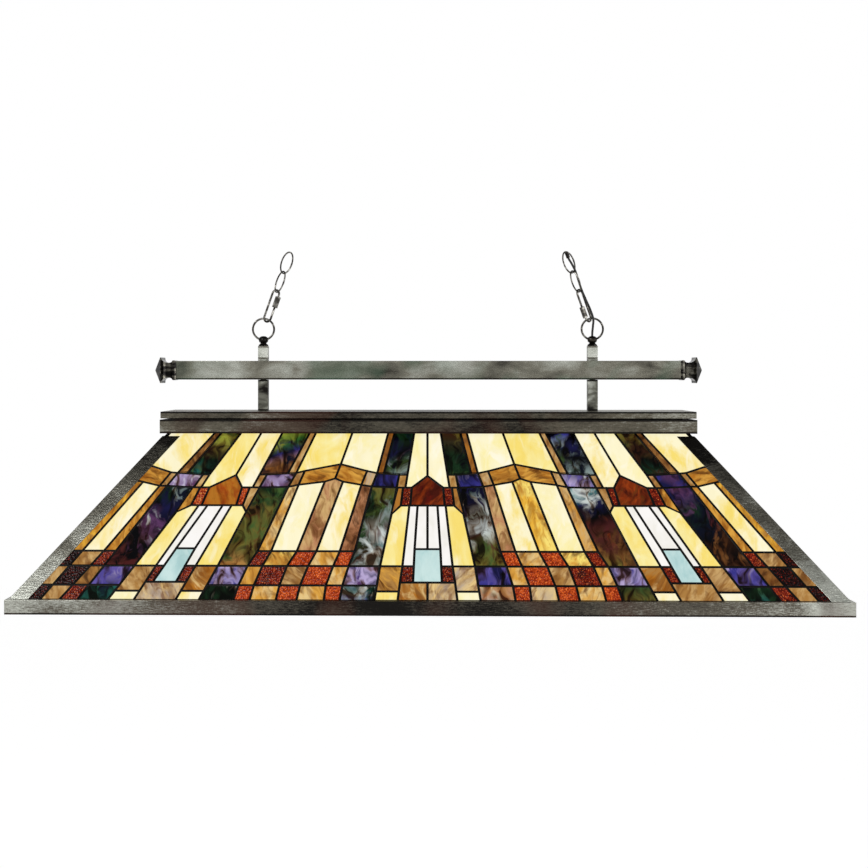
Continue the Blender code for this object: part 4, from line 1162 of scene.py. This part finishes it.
for number, x in enumerate((-0.335, 0.0, 0.335), 1):
    cup = lathe(f"cup_{number}", [
        (0, 0.2697), (0.0180, 0.2697), (0.0190, 0.2694), (0.0197, 0.2687), (0.0200, 0.2677), (0.0200, 0.2400),
        (0.0197, 0.2397), (0.0191, 0.2397), (0.0188, 0.2400), (0.0188, 0.2672), (0.0175, 0.2685), (0, 0.2685),
    ], x, steel)
    core = lathe(f"core_{number}", [
        (0, 0.2680), (0.0166, 0.2680), (0.0170, 0.2676), (0.0170, 0.2205), (0.0166, 0.2197), (0.0160, 0.2195),
        (0.0142, 0.2195), (0.0137, 0.2198), (0.0134, 0.2204), (0.0134, 0.2520), (0, 0.2520),
    ], x, phenolic)
    base = lathe(f"base_{number}", base_profile(), x, brass)
    bulb = lathe(f"bulb_{number}_glass", bulb_profile(), x, frosted)
    stand_in(cup, "root", "plated_steel", f"socket_cup_{number}")
    stand_in(core, "root", "phenolic", f"socket_core_{number}")
    stand_in(base, f"bulb_{number}", "bulb_brass", f"bulb_base_{number}")
    stand_in(bulb, f"bulb_{number}", "bulb_glass", f"bulb_glass_{number}")


# Camera and light

def add_area(name, place, target, size, power, colour=(1, 1, 1)):
    data = bpy.data.lights.new(name, "AREA")
    data.shape = "RECTANGLE"
    data.size, data.size_y = size
    data.energy = power
    data.color = colour
    made = bpy.data.objects.new(name, data)
    made.location = place
    made.rotation_euler = (Vector(target) - Vector(place)).to_track_quat("-Z", "Y").to_euler()
    bpy.context.scene.collection.objects.link(made)
    return made


camera_data = bpy.data.cameras.new("camera")
camera_data.lens = 59.30
camera_data.sensor_width = 36
camera_data.shift_x = 0.042
camera_data.shift_y = -0.068
camera_data.clip_end = 50
camera = bpy.data.objects.new("camera", camera_data)
camera.location = (0, -2.300, 0.345)
camera.rotation_euler = (math.pi / 2, 0, math.radians(1.2))
bpy.context.scene.collection.objects.link(camera)
bpy.context.scene.camera = camera

world = bpy.data.worlds.new("studio")
bpy.context.scene.world = world
world.use_nodes = True
sky = Nodes.__new__(Nodes)
sky.tree = world.node_tree
soft_light = sky.tree.nodes["Background"]
height = sky.node("ShaderNodeSeparateXYZ", {0: sky.node("ShaderNodeTexCoord").outputs["Generated"]}).outputs["Z"]
low_light = sky.ramp(height, -0.7, -0.05, 0.55, 0.30)
room_light = sky.math("ADD", low_light, sky.math("MULTIPLY", sky.ramp(height, -0.05, 0.25), sky.ramp(height, 0.85, 0.35, -0.15, 0.60)))
sky.put(soft_light.inputs["Strength"], room_light)
white = sky.node("ShaderNodeBackground", {"Color": (1, 1, 1, 1), "Strength": 1.0})
seen = sky.node("ShaderNodeMixShader", {
    0: sky.node("ShaderNodeLightPath").outputs["Is Camera Ray"], 1: soft_light.outputs[0], 2: white.outputs[0]})
sky.tree.links.new(seen.outputs[0], sky.tree.nodes["World Output"].inputs["Surface"])
soft_light.inputs["Color"].default_value = (1, 1, 1, 1)
bpy.context.scene.view_settings.view_transform = "Standard"

floor_data = bpy.data.meshes.new("floor")
floor_body = bmesh.new()
bmesh.ops.create_grid(floor_body, x_segments=1, y_segments=1, size=20)
floor_body.to_mesh(floor_data)
floor_body.free()
floor_nodes = Nodes("pale_floor")
floor = new_object("floor", floor_data, floor_nodes.set(
    Base_Color=(0.9, 0.9, 0.9, 1), Roughness=0.9, Emission_Color=(1, 1, 1, 1), Emission_Strength=0.6))
floor.location = (0, 0, -3)

add_area("key", (-1.6, -2.6, 2.2), (0, 0, 0.25), (2.0, 1.4), 60)
add_area("fill", (2.2, -2.0, 1.0), (0, 0, 0.25), (1.6, 1.6), 25)

FINISHES = (
    ("rim", rim_bronze), ("hip", hip_bronze), ("ridge", ridge_bronze), ("crossbar", bar_bronze),
    ("link_nut", chain_bronze), ("ball_loop", dark_bronze), ("threaded", thread_steel),
    (("socket", "pipe"), steel), ("cord_end", dark_bronze), ("finial", finial_bronze), (("stub_l", "stub_r"), stub_bronze), ("splice", phenolic), ("harness", cord_cover),
    (("post", "stub_washer"), bronze),
)
replaced = ("glass", "ring", "quick_link", "chain_link", "supply", "socket_c", "bulb")
for node_name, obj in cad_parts.items():
    if node_name.startswith(replaced):
        continue
    chosen = next(finish for start, finish in FINISHES if node_name.startswith(start))
    for material_slot in obj.material_slots:
        material_slot.material = chosen
    weld = obj.modifiers.new("weld", "WELD")
    weld.merge_threshold = 0.00001
    bevel = obj.modifiers.new("edges", "BEVEL")
    bevel.width = 0.0004
    bevel.segments = 2
    bevel.limit_method = "ANGLE"
    bevel.harden_normals = False
